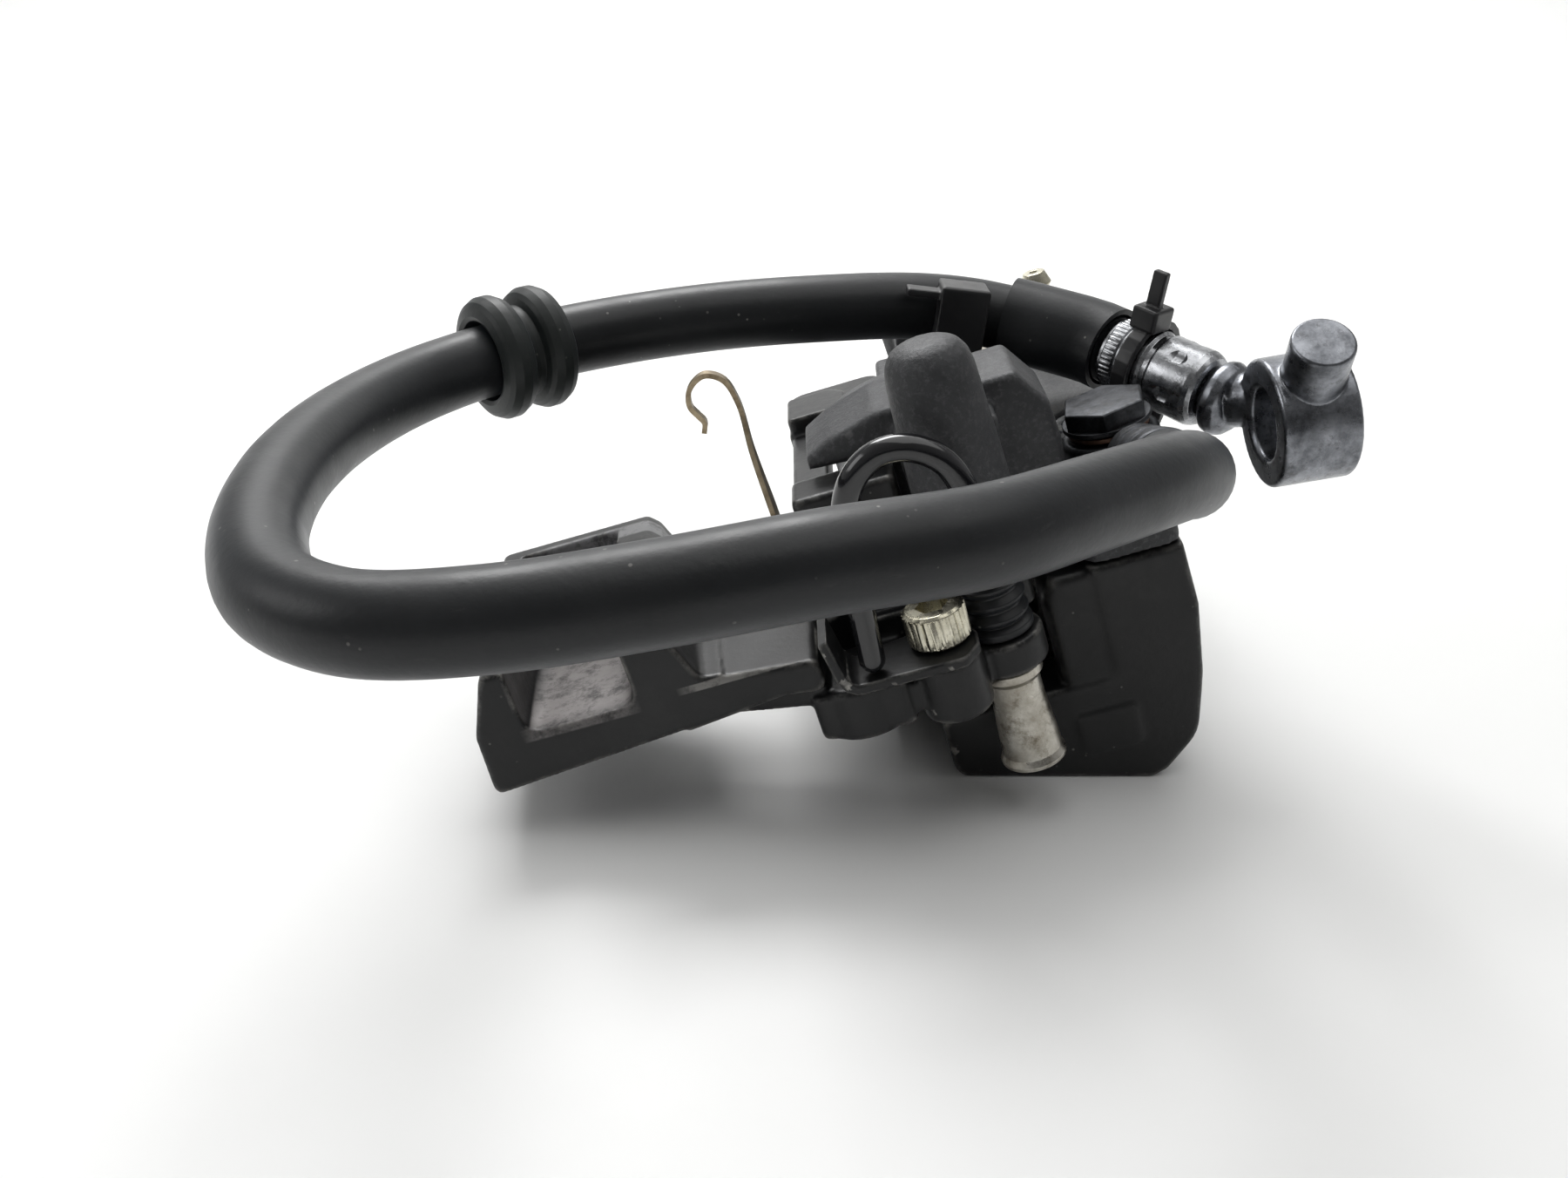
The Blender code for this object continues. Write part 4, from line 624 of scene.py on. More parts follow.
def _tube_along(points, outer, inner, n):
    """Hollow tube along points."""
    count = len(points)
    side = (points[1] - points[0]).orthogonal().normalized()
    shells = ([], [])
    bm = bmesh.new()
    for i in range(count):
        t = (points[min(i + 1, count - 1)] - points[max(i - 1, 0)]).normalized()
        side = (side - t * side.dot(t)).normalized()
        o = t.cross(side)
        for shell, r in zip(shells, (outer, inner)):
            shell.append([bm.verts.new(points[i] + (side * math.cos(2 * math.pi * k / n) + o * math.sin(2 * math.pi * k / n)) * r) for k in range(n)])
    rings = shells[0] + list(reversed(shells[1]))
    for a, b in zip(rings, rings[1:] + rings[:1]):
        for k in range(n):
            j = (k + 1) % n
            bm.faces.new((a[k], a[j], b[j], b[k]))
    return bm


def round_wire(points, radius, n=14, dome=True):
    n = 32
    return _round_wire(points, radius, n, dome)


def _round_wire(points, radius, n, dome):
    """Round wire along points with a domed end each side."""
    bm = bmesh.new()
    count = len(points)
    tangents = [(points[min(i + 1, count - 1)] - points[max(i - 1, 0)]).normalized() for i in range(count)]
    side = tangents[0].orthogonal().normalized()
    stations = []
    for i in range(count):
        side = (side - tangents[i] * side.dot(tangents[i])).normalized()
        stations.append((points[i], tangents[i], side.copy(), radius))
    if dome:
        first, last = stations[0], stations[-1]
        caps0 = [(first[0] - first[1] * radius * math.sin(a), first[1], first[2], radius * math.cos(a)) for a in (1.45, 1.2, 0.95, 0.7, 0.45, 0.2)]
        caps1 = [(last[0] + last[1] * radius * math.sin(a), last[1], last[2], radius * math.cos(a)) for a in (0.2, 0.45, 0.7, 0.95, 1.2, 1.45)]
        stations = caps0 + stations + caps1
    rings = []
    for p, t, s, r in stations:
        o = t.cross(s)
        rings.append([bm.verts.new(p + (s * math.cos(2 * math.pi * k / n) + o * math.sin(2 * math.pi * k / n)) * r) for k in range(n)])
    for a, b in zip(rings, rings[1:]):
        for k in range(n):
            j = (k + 1) % n
            bm.faces.new((a[k], a[j], b[j], b[k]))
    bm.faces.new(rings[0])
    bm.faces.new(list(reversed(rings[-1])))
    return bm


# ---------------------------------------------------------------- outer half (black block)
def outer_half():
    right = [(BRIDGE_X1, PARTING_Z), (BRIDGE_X1 + 0.4, -2.0), (BRIDGE_X1 - 1.0, -13.0), (BRIDGE_X1 - 3.4, -22.5)]
    foot_r, foot_l = 20.5, -3.8
    profile = [(-5.4, -9.5), (BRIDGE_X0, -9.5), (BRIDGE_X0, PARTING_Z)] + right + [
        (foot_r + 4.0, base_z(foot_r + 4.0) + 1.2), (foot_r, base_z(foot_r) - 1.2), (foot_l, base_z(foot_l) - 1.5), (-5.4, base_z(foot_l) + 1.6)]
    radii = [1.2, 2.0, 0.0, 0.0, 0.0, 4.0, 7.0, 3.0, 0.0, 0.0, 1.5]
    body = put("caliper_outer", prism(rounded(profile, radii, 4), -BODY_HALF_LEN, BODY_HALF_LEN, 'y', bevel=2.4, segments=2))
    claw = [(-22.0, -9.0), (2.0, -9.1), (2.0, base_z(2.0) - 0.7), (-20.4, base_z(-20.4) - 0.9), (-22.0, base_z(-20.6) + 1.2)]
    add(body, put("claw", prism(rounded(claw, [1.5, 0.0, 0.0, 0.0, 0.0], 3), -20.0, BODY_HALF_LEN - 3.0, 'y', bevel=0.8)))
    cheek = prism(rounded([(12.9, -11.0), (24.0, -11.0), (24.0, PARTING_Z - 0.4), (14.4, PARTING_Z - 0.4), (12.9, 5.0)], [0.0, 0.0, 0.0, 1.5, 1.5], 3),
                  -BODY_HALF_LEN + 0.35, -33.1, 'y', bevel=1.6, segments=2)
    add(body, put("cheek", cheek))
    pocket_floor = SLOT_Z0 - LINING_T - PLATE_T - 2 * GAP
    cut(body,
        put("pad_pocket", box(PAD_X0 - 0.5, PAD_X1 + 2.2, -PAD_HALF - GAP, PAD_HALF + GAP, pocket_floor, 5.0)),
        put("pin_hole", disc(16.0, 25.0, 2.2, -21.0, 0.0, 16)))
    cut(body, put("table_flat", prism([(-60.0, base_z(-60.0)), (60.0, base_z(60.0)), (60.0, -70.0), (-60.0, -70.0)], -80.0, 80.0, 'y')))
    for y in BOLT_YS:
        cut(body, put("bolt_hole", disc(BOLT_X, y, 3.3, -12.0, 20.0, 20)))
    cut(body, put("inlet_end", disc(BANJO_X, BANJO_Y, 3.7, 4.2, 20.0, 20)))
    add(body, put("foundry_pad", prism(rounded([(13.5, -21.0), (22.0, -21.0), (22.0, -14.5), (13.5, -14.5)], 1.0, 3),
                                       -BODY_HALF_LEN - 0.45, -BODY_HALF_LEN + 1.5, 'y')))
    return finish(body, BLACK_PAINT)


# ---------------------------------------------------------------- inner half (grey casting)
def boss(sign):
    """Blind slide-pin boss with a domed top, closed above."""
    top = BOSS_TOP if sign < 0 else REAR_TOP
    profile = [(0.0, BOSS_Z0), (BOSS_R, BOSS_Z0), (BOSS_R + 0.3, BOSS_Z0 + 6.0), (BOSS_R + 0.1, BOSS_Z0 + 0.43 * (top - BOSS_Z0)), (BOSS_R - 0.5, top - 4.2),
               (BOSS_R - 0.9, top - 2.3), (BOSS_R - 1.9, top - 0.8), (BOSS_R - 3.4, top - 0.1), (0.0, top)]
    return lathe(profile, 20, (PIN_X, sign * PIN_Y, 0.0))


def inner_half():
    body = put("caliper_inner", disc(PISTON_X, 0.0, HOUSING_R, BORE_Z0, HOUSING_TOP, 32, bevel=2.0))
    flange = prism(rounded([(BRIDGE_X0 - 9.0, -31.0), (BRIDGE_X0 - 0.5, -BODY_HALF_LEN), (BRIDGE_X1 - 0.4, -BODY_HALF_LEN),
                            (BRIDGE_X1 - 0.4, BODY_HALF_LEN), (BRIDGE_X0 - 0.5, BODY_HALF_LEN), (BRIDGE_X0 - 9.0, 31.0)],
                           [3.0, 4.0, 4.5, 4.5, 4.0, 3.0], 4), PARTING_Z + 5.4, FLANGE_TOP_Z, 'z', bevel=1.2)
    rib = prism(rounded([(BRIDGE_X0, -BODY_HALF_LEN), (BRIDGE_X1, -BODY_HALF_LEN), (BRIDGE_X1, BODY_HALF_LEN), (BRIDGE_X0, BODY_HALF_LEN)],
                        [2.6, 2.6, 2.6, 2.6], 4), PARTING_Z + GAP, PARTING_Z + 6.5)
    add(body, put("flange", flange), put("rib", rib))
    top = [(-13.2, 30.7), (-13.0, 32.6), (-9.0, 34.6), (-2.5, 36.4), (17.2, 36.4), (20.8, 31.0), (21.3, 25.0), (20.5, 15.6), (-0.2, 15.6), (-0.9, 29.9)]
    back = [(-10.8, 21.5), (-8.6, 25.0), (-5.0, 26.7), (15.5, 26.7), (20.2, 24.2), (20.1, 15.2), (-5.6, 15.2), (-10.0, 19.0)]
    add(body, put("lug", prism(rounded(top, 0.0), -37.5, -22.6, 'y', bevel=1.4)),
        put("lug_back", prism(rounded(back, 0.0), -24.5, -9.0, 'y', bevel=1.0)),
        put("web", prism(rounded([(1.6, 20.0), (10.9, 20.0), (10.4, 43.0), (2.1, 43.0)], 1.5, 3), -PIN_Y, -34.0, 'y')),
        put("neck", prism(rounded([(1.6, 18.4), (10.9, 18.4), (13.5, 34.0), (-1.0, 34.0)], 1.5, 3), -44.0, -33.0, 'y')),
        put("boss", boss(-1)))
    add(body, put("rear_arm", prism(rounded([(-3.4, 13.9), (20.2, 13.9), (20.2, 18.3), (-2.6, 19.0)], [0.8, 0.0, 0.0, 0.8], 3), 9.5, 43.6, 'y', bevel=0.7)),
        put("rear_web", prism(rounded([(1.5, 17.1), (11.0, 17.1), (10.2, 24.5), (2.3, 24.5)], 1.0, 3), 36.0, PIN_Y, 'y')),
        put("rear_boss", boss(1)))
    cut(body, put("inlet_step", prism([(21.75, -60.0), (60.0, -60.0), (60.0, -14.6), (21.75, -14.6)], BANJO_SEAT, 60.0, 'z')))
    add(body, put("bleed_boss", disc(28.4, 29.0, 5.2, 12.0, 20.0, 24, bevel=0.6)))
    # the top falls away towards the bridge, under the hose
    (xa, za), (xb, zb) = SLOPE
    slope = prism([(xa, za), (xb, zb), (40.0, zb), (40.0, 60.0), (xa, 60.0)], -14.5, 14.5, 'y')
    cut(body, put("slope", slope))
    bore = lathe([(0.0, BORE_Z0 - 5.0), (BORE_R, BORE_Z0 - 5.0), (BORE_R, DUST_Z0), (DUST_R, DUST_Z0), (DUST_R, DUST_Z1), (BORE_R, DUST_Z1),
                  (BORE_R, SEAL_Z0), (SEAL_R, SEAL_Z0), (SEAL_R, SEAL_Z1), (BORE_R, SEAL_Z1), (BORE_R, BORE_Z1), (0.0, BORE_Z1)], 32, (PISTON_X, 0.0, 0.0))
    cut(body, put("bore", bore))
    for sign, depth in ((-1, 43.5), (1, REAR_TOP - 3.3)):
        cut(body, put("pin_bore", disc(PIN_X, sign * PIN_Y, PIN_R + 0.09, BOSS_Z0 - 5.0, depth, 18)))
    for y in BOLT_YS:
        cut(body, put("bolt_bore", disc(BOLT_X, y, 3.4, 0.0, 30.0, 20)), put("bolt_sink", disc(BOLT_X, y, 4.9, 11.6, 30.0, 24)))
    cut(body, put("inlet", disc(BANJO_X, BANJO_Y, 3.7, 0.0, 30.0, 20)),
        put("bleed_hole", disc(28.4, 29.0, 2.6, 10.0, 30.0, 16)),
        put("pad_pin_hole", disc(16.0, 25.0, 2.2, 5.0, 22.5, 16)))
    return finish(body, GREY_CAST)


# ---------------------------------------------------------------- carrier bracket
def shear_back(bm, y0, rate):
    for v in bm.verts:
        v.co.x -= rate * (v.co.y - y0)
    return bm


def carrier():
    front = -59.0
    arm_profile = rounded([(-65.0, 6.1), (-30.0, 8.9), (-30.0, 15.0), (-32.8, 15.2), (-35.4, 22.0), (-37.0, 23.6), (-60.7, 23.7), (-64.4, 15.2)],
                          [1.4, 0.0, 0.0, 2.0, 1.6, 1.6, 1.6, 2.4], 3)
    body = put("carrier_bracket", shear_back(prism(arm_profile, front, -16.0, 'y', bevel=0.6, segments=2), front, 0.09))
    pocket = prism(rounded([(-57.5, 14.0), (-42.0, 14.0), (-42.0, 40.0), (-57.5, 40.0)], [2.6, 2.6, 0.0, 0.0], 5), front - 8.0, -19.2, 'y')
    cut(body, put("slot", shear_back(pocket, front, 0.09)))
    beam = prism(rounded([(-37.0, 7.9), (-23.0, 9.4), (-17.4, 8.6), (-17.4, 13.4), (-36.0, 15.2)], [0.0, 0.0, 1.6, 1.6, 0.0], 3), front + 0.08, -33.5, 'y', bevel=0.6)
    cross = prism(rounded([(-34.0, -52.0), (-17.6, -57.6), (-17.2, -47.0), (-13.5, -44.4), (12.2, -44.4), (12.2, -33.2), (-34.0, -33.2)], [0.0, 1.0, 1.0, 1.0, 2.0, 1.0, 2.0], 3),
                  5.6, 12.6, 'z', bevel=0.6)
    low = prism(rounded([(-20.5, -57.6), (2.0, -58.6), (5.0, -52.0), (10.5, -48.0), (10.5, -40.0), (-20.5, -40.0)], [3.0, 2.0, 0.0, 2.0, 1.0, 1.0], 3),
                1.63, 6.18, 'z', bevel=0.4)
    lobe = disc(-13.7, -52.8, 6.6, 0.0, 7.75, 26, bevel=0.9)
    lobe_block = prism(rounded([(-20.3, -58.0), (-7.0, -59.3), (-7.0, -46.0), (-20.3, -46.0)], 2.0, 3), 0.6, 7.4, 'z', bevel=0.6)
    boss_c = disc(-1.5, -55.6, 4.75, -0.6, 8.1, 26, bevel=0.8)
    rise = prism(rounded([(-12.0, -46.3), (1.2, -46.3), (1.2, -38.0), (-12.0, -38.0)], 1.0, 3), 4.0, 10.9)
    eye = disc(PIN_X, -PIN_Y, EYE_R, EYE_Z0, EYE_Z1, 20, bevel=0.45)
    tie = prism(rounded([(-20.9, -36.0), (-14.6, -36.0), (-14.6, 40.0), (-20.9, 40.0)], 1.5, 3), 6.75, 12.2, 'z', bevel=0.6)
    rear = prism(rounded([(-21.3, 33.2), (12.2, 33.2), (12.2, 44.4), (1.0, 45.5), (-4.0, 57.0), (-21.3, 57.0)], [1.2, 2.0, 2.0, 4.0, 4.0, 4.0], 3), 5.6, 12.6, 'z', bevel=0.6)
    rear_low = prism(rounded([(-8.0, 40.0), (10.5, 40.0), (10.5, 48.0), (3.0, 53.0), (-8.0, 50.0)], 2.0, 3), 1.63, 6.18, 'z', bevel=0.4)
    abutment = prism(rounded([(-20.9, 33.6), (-9.6, 33.6), (-9.6, 42.8), (-12.2, 46.0), (-20.9, 46.0)], [1.2, 0.8, 2.0, 2.0, 1.2], 3), 11.0, 15.6, 'z', bevel=0.8)
    upright = prism(rounded([(-16.4, -42.6), (-1.9, -42.6), (-1.9, -34.4), (-16.4, -34.4)], [1.2, 1.0, 1.0, 1.2], 3), 11.0, 29.0, 'z', bevel=0.8)
    eye_rear = disc(PIN_X, PIN_Y, EYE_R, EYE_Z0, EYE_Z1, 20, bevel=0.45)
    add(body, put("beam", beam), put("cross", cross), put("low", low), put("lobe_block", lobe_block), put("lobe", lobe), put("boss_c", boss_c),
        put("rise", rise), put("eye", eye), put("tie", tie), put("rear", rear), put("abutment", abutment), put("upright", upright), put("rear_low", rear_low), put("eye_rear", eye_rear))
    cut(body, put("stay_hole", disc(-1.5, -55.6, BOLT_R + 0.2, -5.0, 15.0, 20)))
    for sign in (-1, 1):
        cut(body, put("eye_hole", disc(PIN_X, sign * PIN_Y, PIN_R + GAP, -5.0, 15.0, 24)))
    return finish(body, CARRIER_PAINT)


# ---------------------------------------------------------------- slide pins, boots and sleeves
def pin_set(tag, sign):
    centre = (PIN_X, sign * PIN_Y, 0.0)
    origin = (PIN_X, sign * PIN_Y, EYE_Z1)
    tip = 42.2 if sign < 0 else REAR_TOP - 4.6
    put("slide_pin_" + tag, lathe([(0.0, -13.6), (2.0, -13.6), (2.5, -13.1), (2.5, 1.0), (PIN_R, 1.6), (PIN_R, tip - 0.8), (PIN_R - 0.8, tip), (0.0, tip)], 18, centre),
        STEEL, origin=origin)
    put("guide_sleeve_" + tag, lathe([(2.8, SLEEVE_Z1), (4.1, SLEEVE_Z1), (4.4, SLEEVE_Z1 - 0.4), (4.4, -0.3), (3.65, -1.2), (3.7, -5.0), (4.15, -10.5), (4.2, -12.8),
                                      (4.65, SLEEVE_Z0 + 0.6), (4.55, SLEEVE_Z0), (3.6, SLEEVE_Z0), (2.8, SLEEVE_Z0 + 0.8)], 18, centre), STEEL, origin=origin)
    outer = [(4.7, EYE_Z1 + GAP), (4.8, 7.7)]
    z = 8.1
    for k in range(3):
        outer += [(3.85, z + 0.2), (4.6, z + 1.0), (4.6, z + 1.4), (3.85, z + 2.2)]
        z += 2.3
    outer += [(4.7, 15.3), (4.7, BOSS_Z0 - GAP)]
    inner = [(3.35, BOSS_Z0 - GAP), (3.35, EYE_Z1 + GAP)]
    put("boot_" + tag, lathe(outer + inner, 18, centre), RUBBER, origin=origin)


# ---------------------------------------------------------------- piston, seals, pads
def piston_and_pads():
    axis = (PISTON_X, 0.0, BORE_Z0)
    piston_low = SLOT_Z1 + LINING_T + PLATE_T + 2 * GAP
    r = PISTON_R
    put("piston", lathe([(0.0, 19.0), (8.7, 19.0), (9.3, 18.2), (9.3, piston_low), (r - 0.6, piston_low), (r, piston_low + 0.6), (r, 21.1), (r - 0.8, 21.9), (0.0, 21.9)],
                        32, (PISTON_X, 0.0, 0.0)), STEEL, origin=axis)
    put("piston_seal", lathe([(BORE_R + 0.2, SEAL_Z0 + 0.2), (SEAL_R - 0.25, SEAL_Z0 + 0.2), (SEAL_R - 0.25, SEAL_Z1 - 0.2), (BORE_R + 0.2, SEAL_Z1 - 0.2)], 28,
                             (PISTON_X, 0.0, 0.0)), RUBBER, origin=axis)
    put("dust_seal", lathe([(BORE_R + 0.2, DUST_Z0 + 0.2), (DUST_R - 0.25, DUST_Z0 + 0.2), (DUST_R - 0.25, DUST_Z1 - 0.2), (BORE_R + 0.2, DUST_Z1 - 0.2)], 28,
                           (PISTON_X, 0.0, 0.0)), RUBBER, origin=axis)
    plate_shape = rounded([(PAD_X0, -PAD_HALF + 3.0), (PAD_X0 + 4.0, -PAD_HALF), (11.0, -PAD_HALF), (PAD_X1, -PAD_HALF + 6.0), (PAD_X1, PAD_HALF - 6.0),
                           (11.0, PAD_HALF), (PAD_X0 + 4.0, PAD_HALF), (PAD_X0, PAD_HALF - 3.0)], 1.5, 3)
    lining_shape = rounded([(PAD_X0 + 1.5, -PAD_HALF + 6.0), (PAD_X0 + 5.0, -PAD_HALF + 2.5), (9.0, -PAD_HALF + 3.0), (13.0, -PAD_HALF + 11.0),
                            (13.0, PAD_HALF - 11.0), (9.0, PAD_HALF - 3.0), (PAD_X0 + 5.0, PAD_HALF - 2.5), (PAD_X0 + 1.5, PAD_HALF - 6.0)], 1.5, 3)

    def plate(name, z0):
        ob = put(name, prism(plate_shape, z0, z0 + PLATE_T, 'z', bevel=0.3, segments=1), origin=(2.0, 0.0, z0))
        cut(ob, put("hole", disc(16.0, 25.0, 2.3, z0 - 3.0, z0 + PLATE_T + 3.0, 20)))
        return finish(ob, BLACK_PAINT)

    def lining(name, z0):
        ob = put(name, prism(lining_shape, z0, z0 + LINING_T, 'z', bevel=0.4, segments=1), origin=(2.0, 0.0, z0))
        deep = z0 - 3.2 if "inner" in name else z0 + 1.2
        cut(ob, put("groove", box(-20.0, 20.0, -0.8, 0.8, deep, deep + 5.0)))
        return finish(ob, FRICTION)

    plate("pad_plate_inner", SLOT_Z1 + LINING_T + GAP)
    lining("pad_lining_inner", SLOT_Z1)
    lining("pad_lining_outer", SLOT_Z0 - LINING_T)
    plate("pad_plate_outer", SLOT_Z0 - LINING_T - GAP - PLATE_T)
    put("pad_pin", lathe([(0.0, -20.5), (1.5, -20.5), (1.9, -20.1), (1.9, 21.4), (1.5, 21.9), (0.0, 21.9)], 20, (16.0, 25.0, 0.0)), STEEL, origin=(16.0, 25.0, 0.0))
    leaf = smooth_route([(17.9, -18.0, 0.0), (18.6, -15.5, 0.0), (19.2, -9.0, 0.0), (18.75, -3.0, 0.0), (18.7, 3.0, 0.0), (19.2, 9.0, 0.0), (18.6, 15.5, 0.0), (17.9, 18.0, 0.0)], 25)
    put("pad_spring", sweep(leaf, [(-0.25, -6.6), (0.25, -6.6), (0.25, 5.2), (-0.25, 5.2)], (0, 0, 1)), SPRING, origin=(18.5, 0.0, 0.0))


# ---------------------------------------------------------------- bolts and bleed screw
def knurled_screw(name, centre, z_head, shank_low, shank_r, head_r, head_h, socket_r, mat, flutes=15):
    """Socket head cap screw with a knurled rim."""
    rim = []
    flutes = 26
    for k in range(4 * flutes):
        r = head_r - (0.0, 0.1, 0.24, 0.1)[k % 4]
        a = math.pi * k / (2 * flutes)
        rim.append((centre[0] + r * math.cos(a), centre[1] + r * math.sin(a)))
    head = prism(rim, z_head + 0.35, z_head + head_h - 0.45)
    ob = put(name, head, origin=(centre[0], centre[1], z_head))
    core = lathe([(0.0, shank_low), (shank_r - 0.4, shank_low), (shank_r, shank_low + 0.4), (shank_r, z_head), (head_r - 0.35, z_head), (head_r - 0.1, z_head + 0.36),
                  (head_r - 0.25, z_head + 1.0), (head_r - 0.25, z_head + head_h - 0.8), (head_r - 0.12, z_head + head_h - 0.46), (head_r - 0.55, z_head + head_h), (0.0, z_head + head_h)],
                 72, (centre[0], centre[1], 0.0))
    add(ob, put("core", core))
    cut(ob, put("socket", prism(circle(centre[0], centre[1], socket_r, 6), z_head + head_h - 2.6, z_head + head_h + 2.0)))
    return finish(ob, mat, 25.0)


def fasteners():
    knurled_screw("stay_bolt", (-1.5, -55.6), 8.1 + GAP + STAY_T + GAP, -0.4, BOLT_R, BOLT_HEAD_R, BOLT_HEAD_H, 2.3, ZINC)
    for tag, y in zip(("front", "rear"), BOLT_YS):
        body = lathe([(0.0, -11.5), (2.6, -11.5), (3.0, -11.0), (3.0, 11.9), (4.5, 11.9), (4.5, 15.9), (4.1, 16.3), (0.0, 16.3)], 24, (BOLT_X, y, 0.0))
        ob = put("body_bolt_" + tag, body, origin=(BOLT_X, y, 11.9))
        cut(ob, put("socket", prism(circle(BOLT_X, y, 2.9, 6), 13.0, 20.0)))
        finish(ob, DARK_STEEL)
    # banjo bolt: hexagon head on a shank, its drilling left out
    seat = BANJO_SEAT
    wash, eye = 0.8, 6.0
    z_wash_low = seat + GAP
    z_eye = z_wash_low + wash + GAP
    z_wash_up = z_eye + eye + GAP
    z_hex = z_wash_up + wash + GAP
    for tag, z0 in (("lower", z_wash_low), ("upper", z_wash_up)):
        put("washer_" + tag, lathe([(5.1, z0), (5.9, z0), (5.9, z0 + wash), (5.1, z0 + wash)], 24, (BANJO_X, BANJO_Y, 0.0)), COPPER, origin=(BANJO_X, BANJO_Y, z0))
    bolt = put("banjo_bolt", lathe([(0.0, 5.0), (2.9, 5.0), (3.3, 5.4), (3.3, seat + 0.2), (4.9, seat + 0.6), (4.9, z_hex), (6.5, z_hex), (6.5, z_hex + 0.8), (0.0, z_hex + 0.8)],
                                   20, (BANJO_X, BANJO_Y, 0.0)), origin=(BANJO_X, BANJO_Y, z_hex))
    hexa = prism(circle(BANJO_X, BANJO_Y, 6.4, 6, 0.35), z_hex + 0.4, z_hex + 3.4, 'z', bevel=0.4, segments=1)
    add(bolt, put("hex", hexa))
    # zinc darkened as painted shade
    finish(bolt, SHADE_AND_TARNISH_ZINC)
    # bleed screw
    screw = put("bleed_screw", lathe([(0.0, 10.6), (1.7, 10.6), (2.3, 11.6), (2.3, 20.2), (3.9, 20.4), (3.9, 24.6), (2.3, 25.6), (2.0, 27.4), (2.7, 28.4), (1.9, 30.6), (0.0, 30.6)], 20,
                                     (28.4, 29.0, 0.0)), origin=(28.4, 29.0, 20.4))
    add(screw, put("hex", prism(circle(28.4, 29.0, 4.6, 6, 0.3), 20.5, 25.0, 'z', bevel=0.35, segments=1)))
    cut(screw, put("bleed_bore", disc(28.4, 29.0, 0.7, 15.0, 40.0, 10)))
    finish(screw, ZINC)
    return z_eye, eye


# ---------------------------------------------------------------- stay plate, wire guide, hook spring
def stay_group():
    z0 = 8.1 + GAP
    plan = [(-13.2, -62.2), (1.2, -62.2), (3.2, -59.0), (3.3, -55.6), (1.8, -52.2), (-1.5, -50.8), (-6.0, -51.6), (-13.2, -53.6)]
    plate = put("stay_plate", prism(rounded(plan, [0.0, 2.0, 1.5, 2.0, 2.0, 2.0, 2.0, 0.0], 3), z0, z0 + STAY_T, 'z', bevel=0.3, segments=1), origin=(-1.5, -55.6, z0))
    curl = [(-10.5, z0 + 0.06), (-13.6, z0 + 0.04), (-14.9, z0 + 0.9), (-15.7, z0 + 2.6), (-16.6, z0 + 8.2), (-15.3, z0 + 8.7), (-14.4, z0 + 3.2), (-13.6, z0 + 1.9), (-12.8, z0 + STAY_T - 0.05), (-10.5, z0 + STAY_T - 0.07)]
    add(plate, put("curl", prism(curl, -62.1, -53.75, 'y', bevel=0.3, segments=1)))
    cut(plate, put("hole", disc(-1.5, -55.6, BOLT_R + GAP, 0.0, 20.0, 20)))
    finish(plate, BLACK_PAINT)
    z = z0 + STAY_T + GAP + WIRE_R
    route = [(-10.6, -59.8, z), (-10.0, -59.9, 19.0), (-9.1, -60.0, 28.0), (-8.4, -60.0, 32.6), (-6.0, -60.0, 36.8), (-2.4, -60.0, 38.9), (1.4, -60.0, 38.5),
             (4.8, -60.0, 35.9), (6.4, -60.0, 32.0), (6.9, -60.0, 27.0), (7.0, -60.0, 22.0)]
    put("wire_guide", round_wire(smooth_route(route, 120), WIRE_R, 12), GLOSS_BLACK, origin=route[0])
    strip = [(-17.35, -38.0, 14.5), (-18.2, -38.0, 15.7), (-19.2, -38.0, 18.5), (-19.4, -37.6, 26.0), (-19.7, -37.0, 36.0), (-19.5, -36.6, 43.0),
             (-20.5, -36.5, 46.6), (-22.8, -36.5, 47.9), (-25.2, -36.5, 46.6), (-25.9, -36.5, 44.4), (-25.2, -36.5, 42.7), (-24.7, -36.5, 41.6), (-25.2, -36.5, 40.2)]

    def section(t):
        w = 2.3 if t < 0.3 else max(0.75, 2.3 - (t - 0.3) * 5.2)
        return [(-0.35, -w), (0.35, -w), (0.35, w), (-0.35, w)]

    put("hook_spring", sweep(smooth_route(strip, 140), section, (0, 1, 0)), SPRING, origin=strip[0])


# ---------------------------------------------------------------- hose and what is on it (set-out frame)
FREE_ROUTE = {
    "sleeve_in": (36.2, 240.2, 55.6), "sleeve_out": (51.3, 231.2, 53.0), "ferrule_out": (63.4, 219.0, 50.2), "eye": (72.6, 205.5, 50.8),
}
EYE_AXIS = (0.987, 0.08, 0.145)
PIN_AXIS = (-0.183, -0.539, 0.822)


def along(a, b, s):
    """Point s millimetres from a towards b."""
    a, b = Vector(a), Vector(b)
    return a + (b - a).normalized() * s


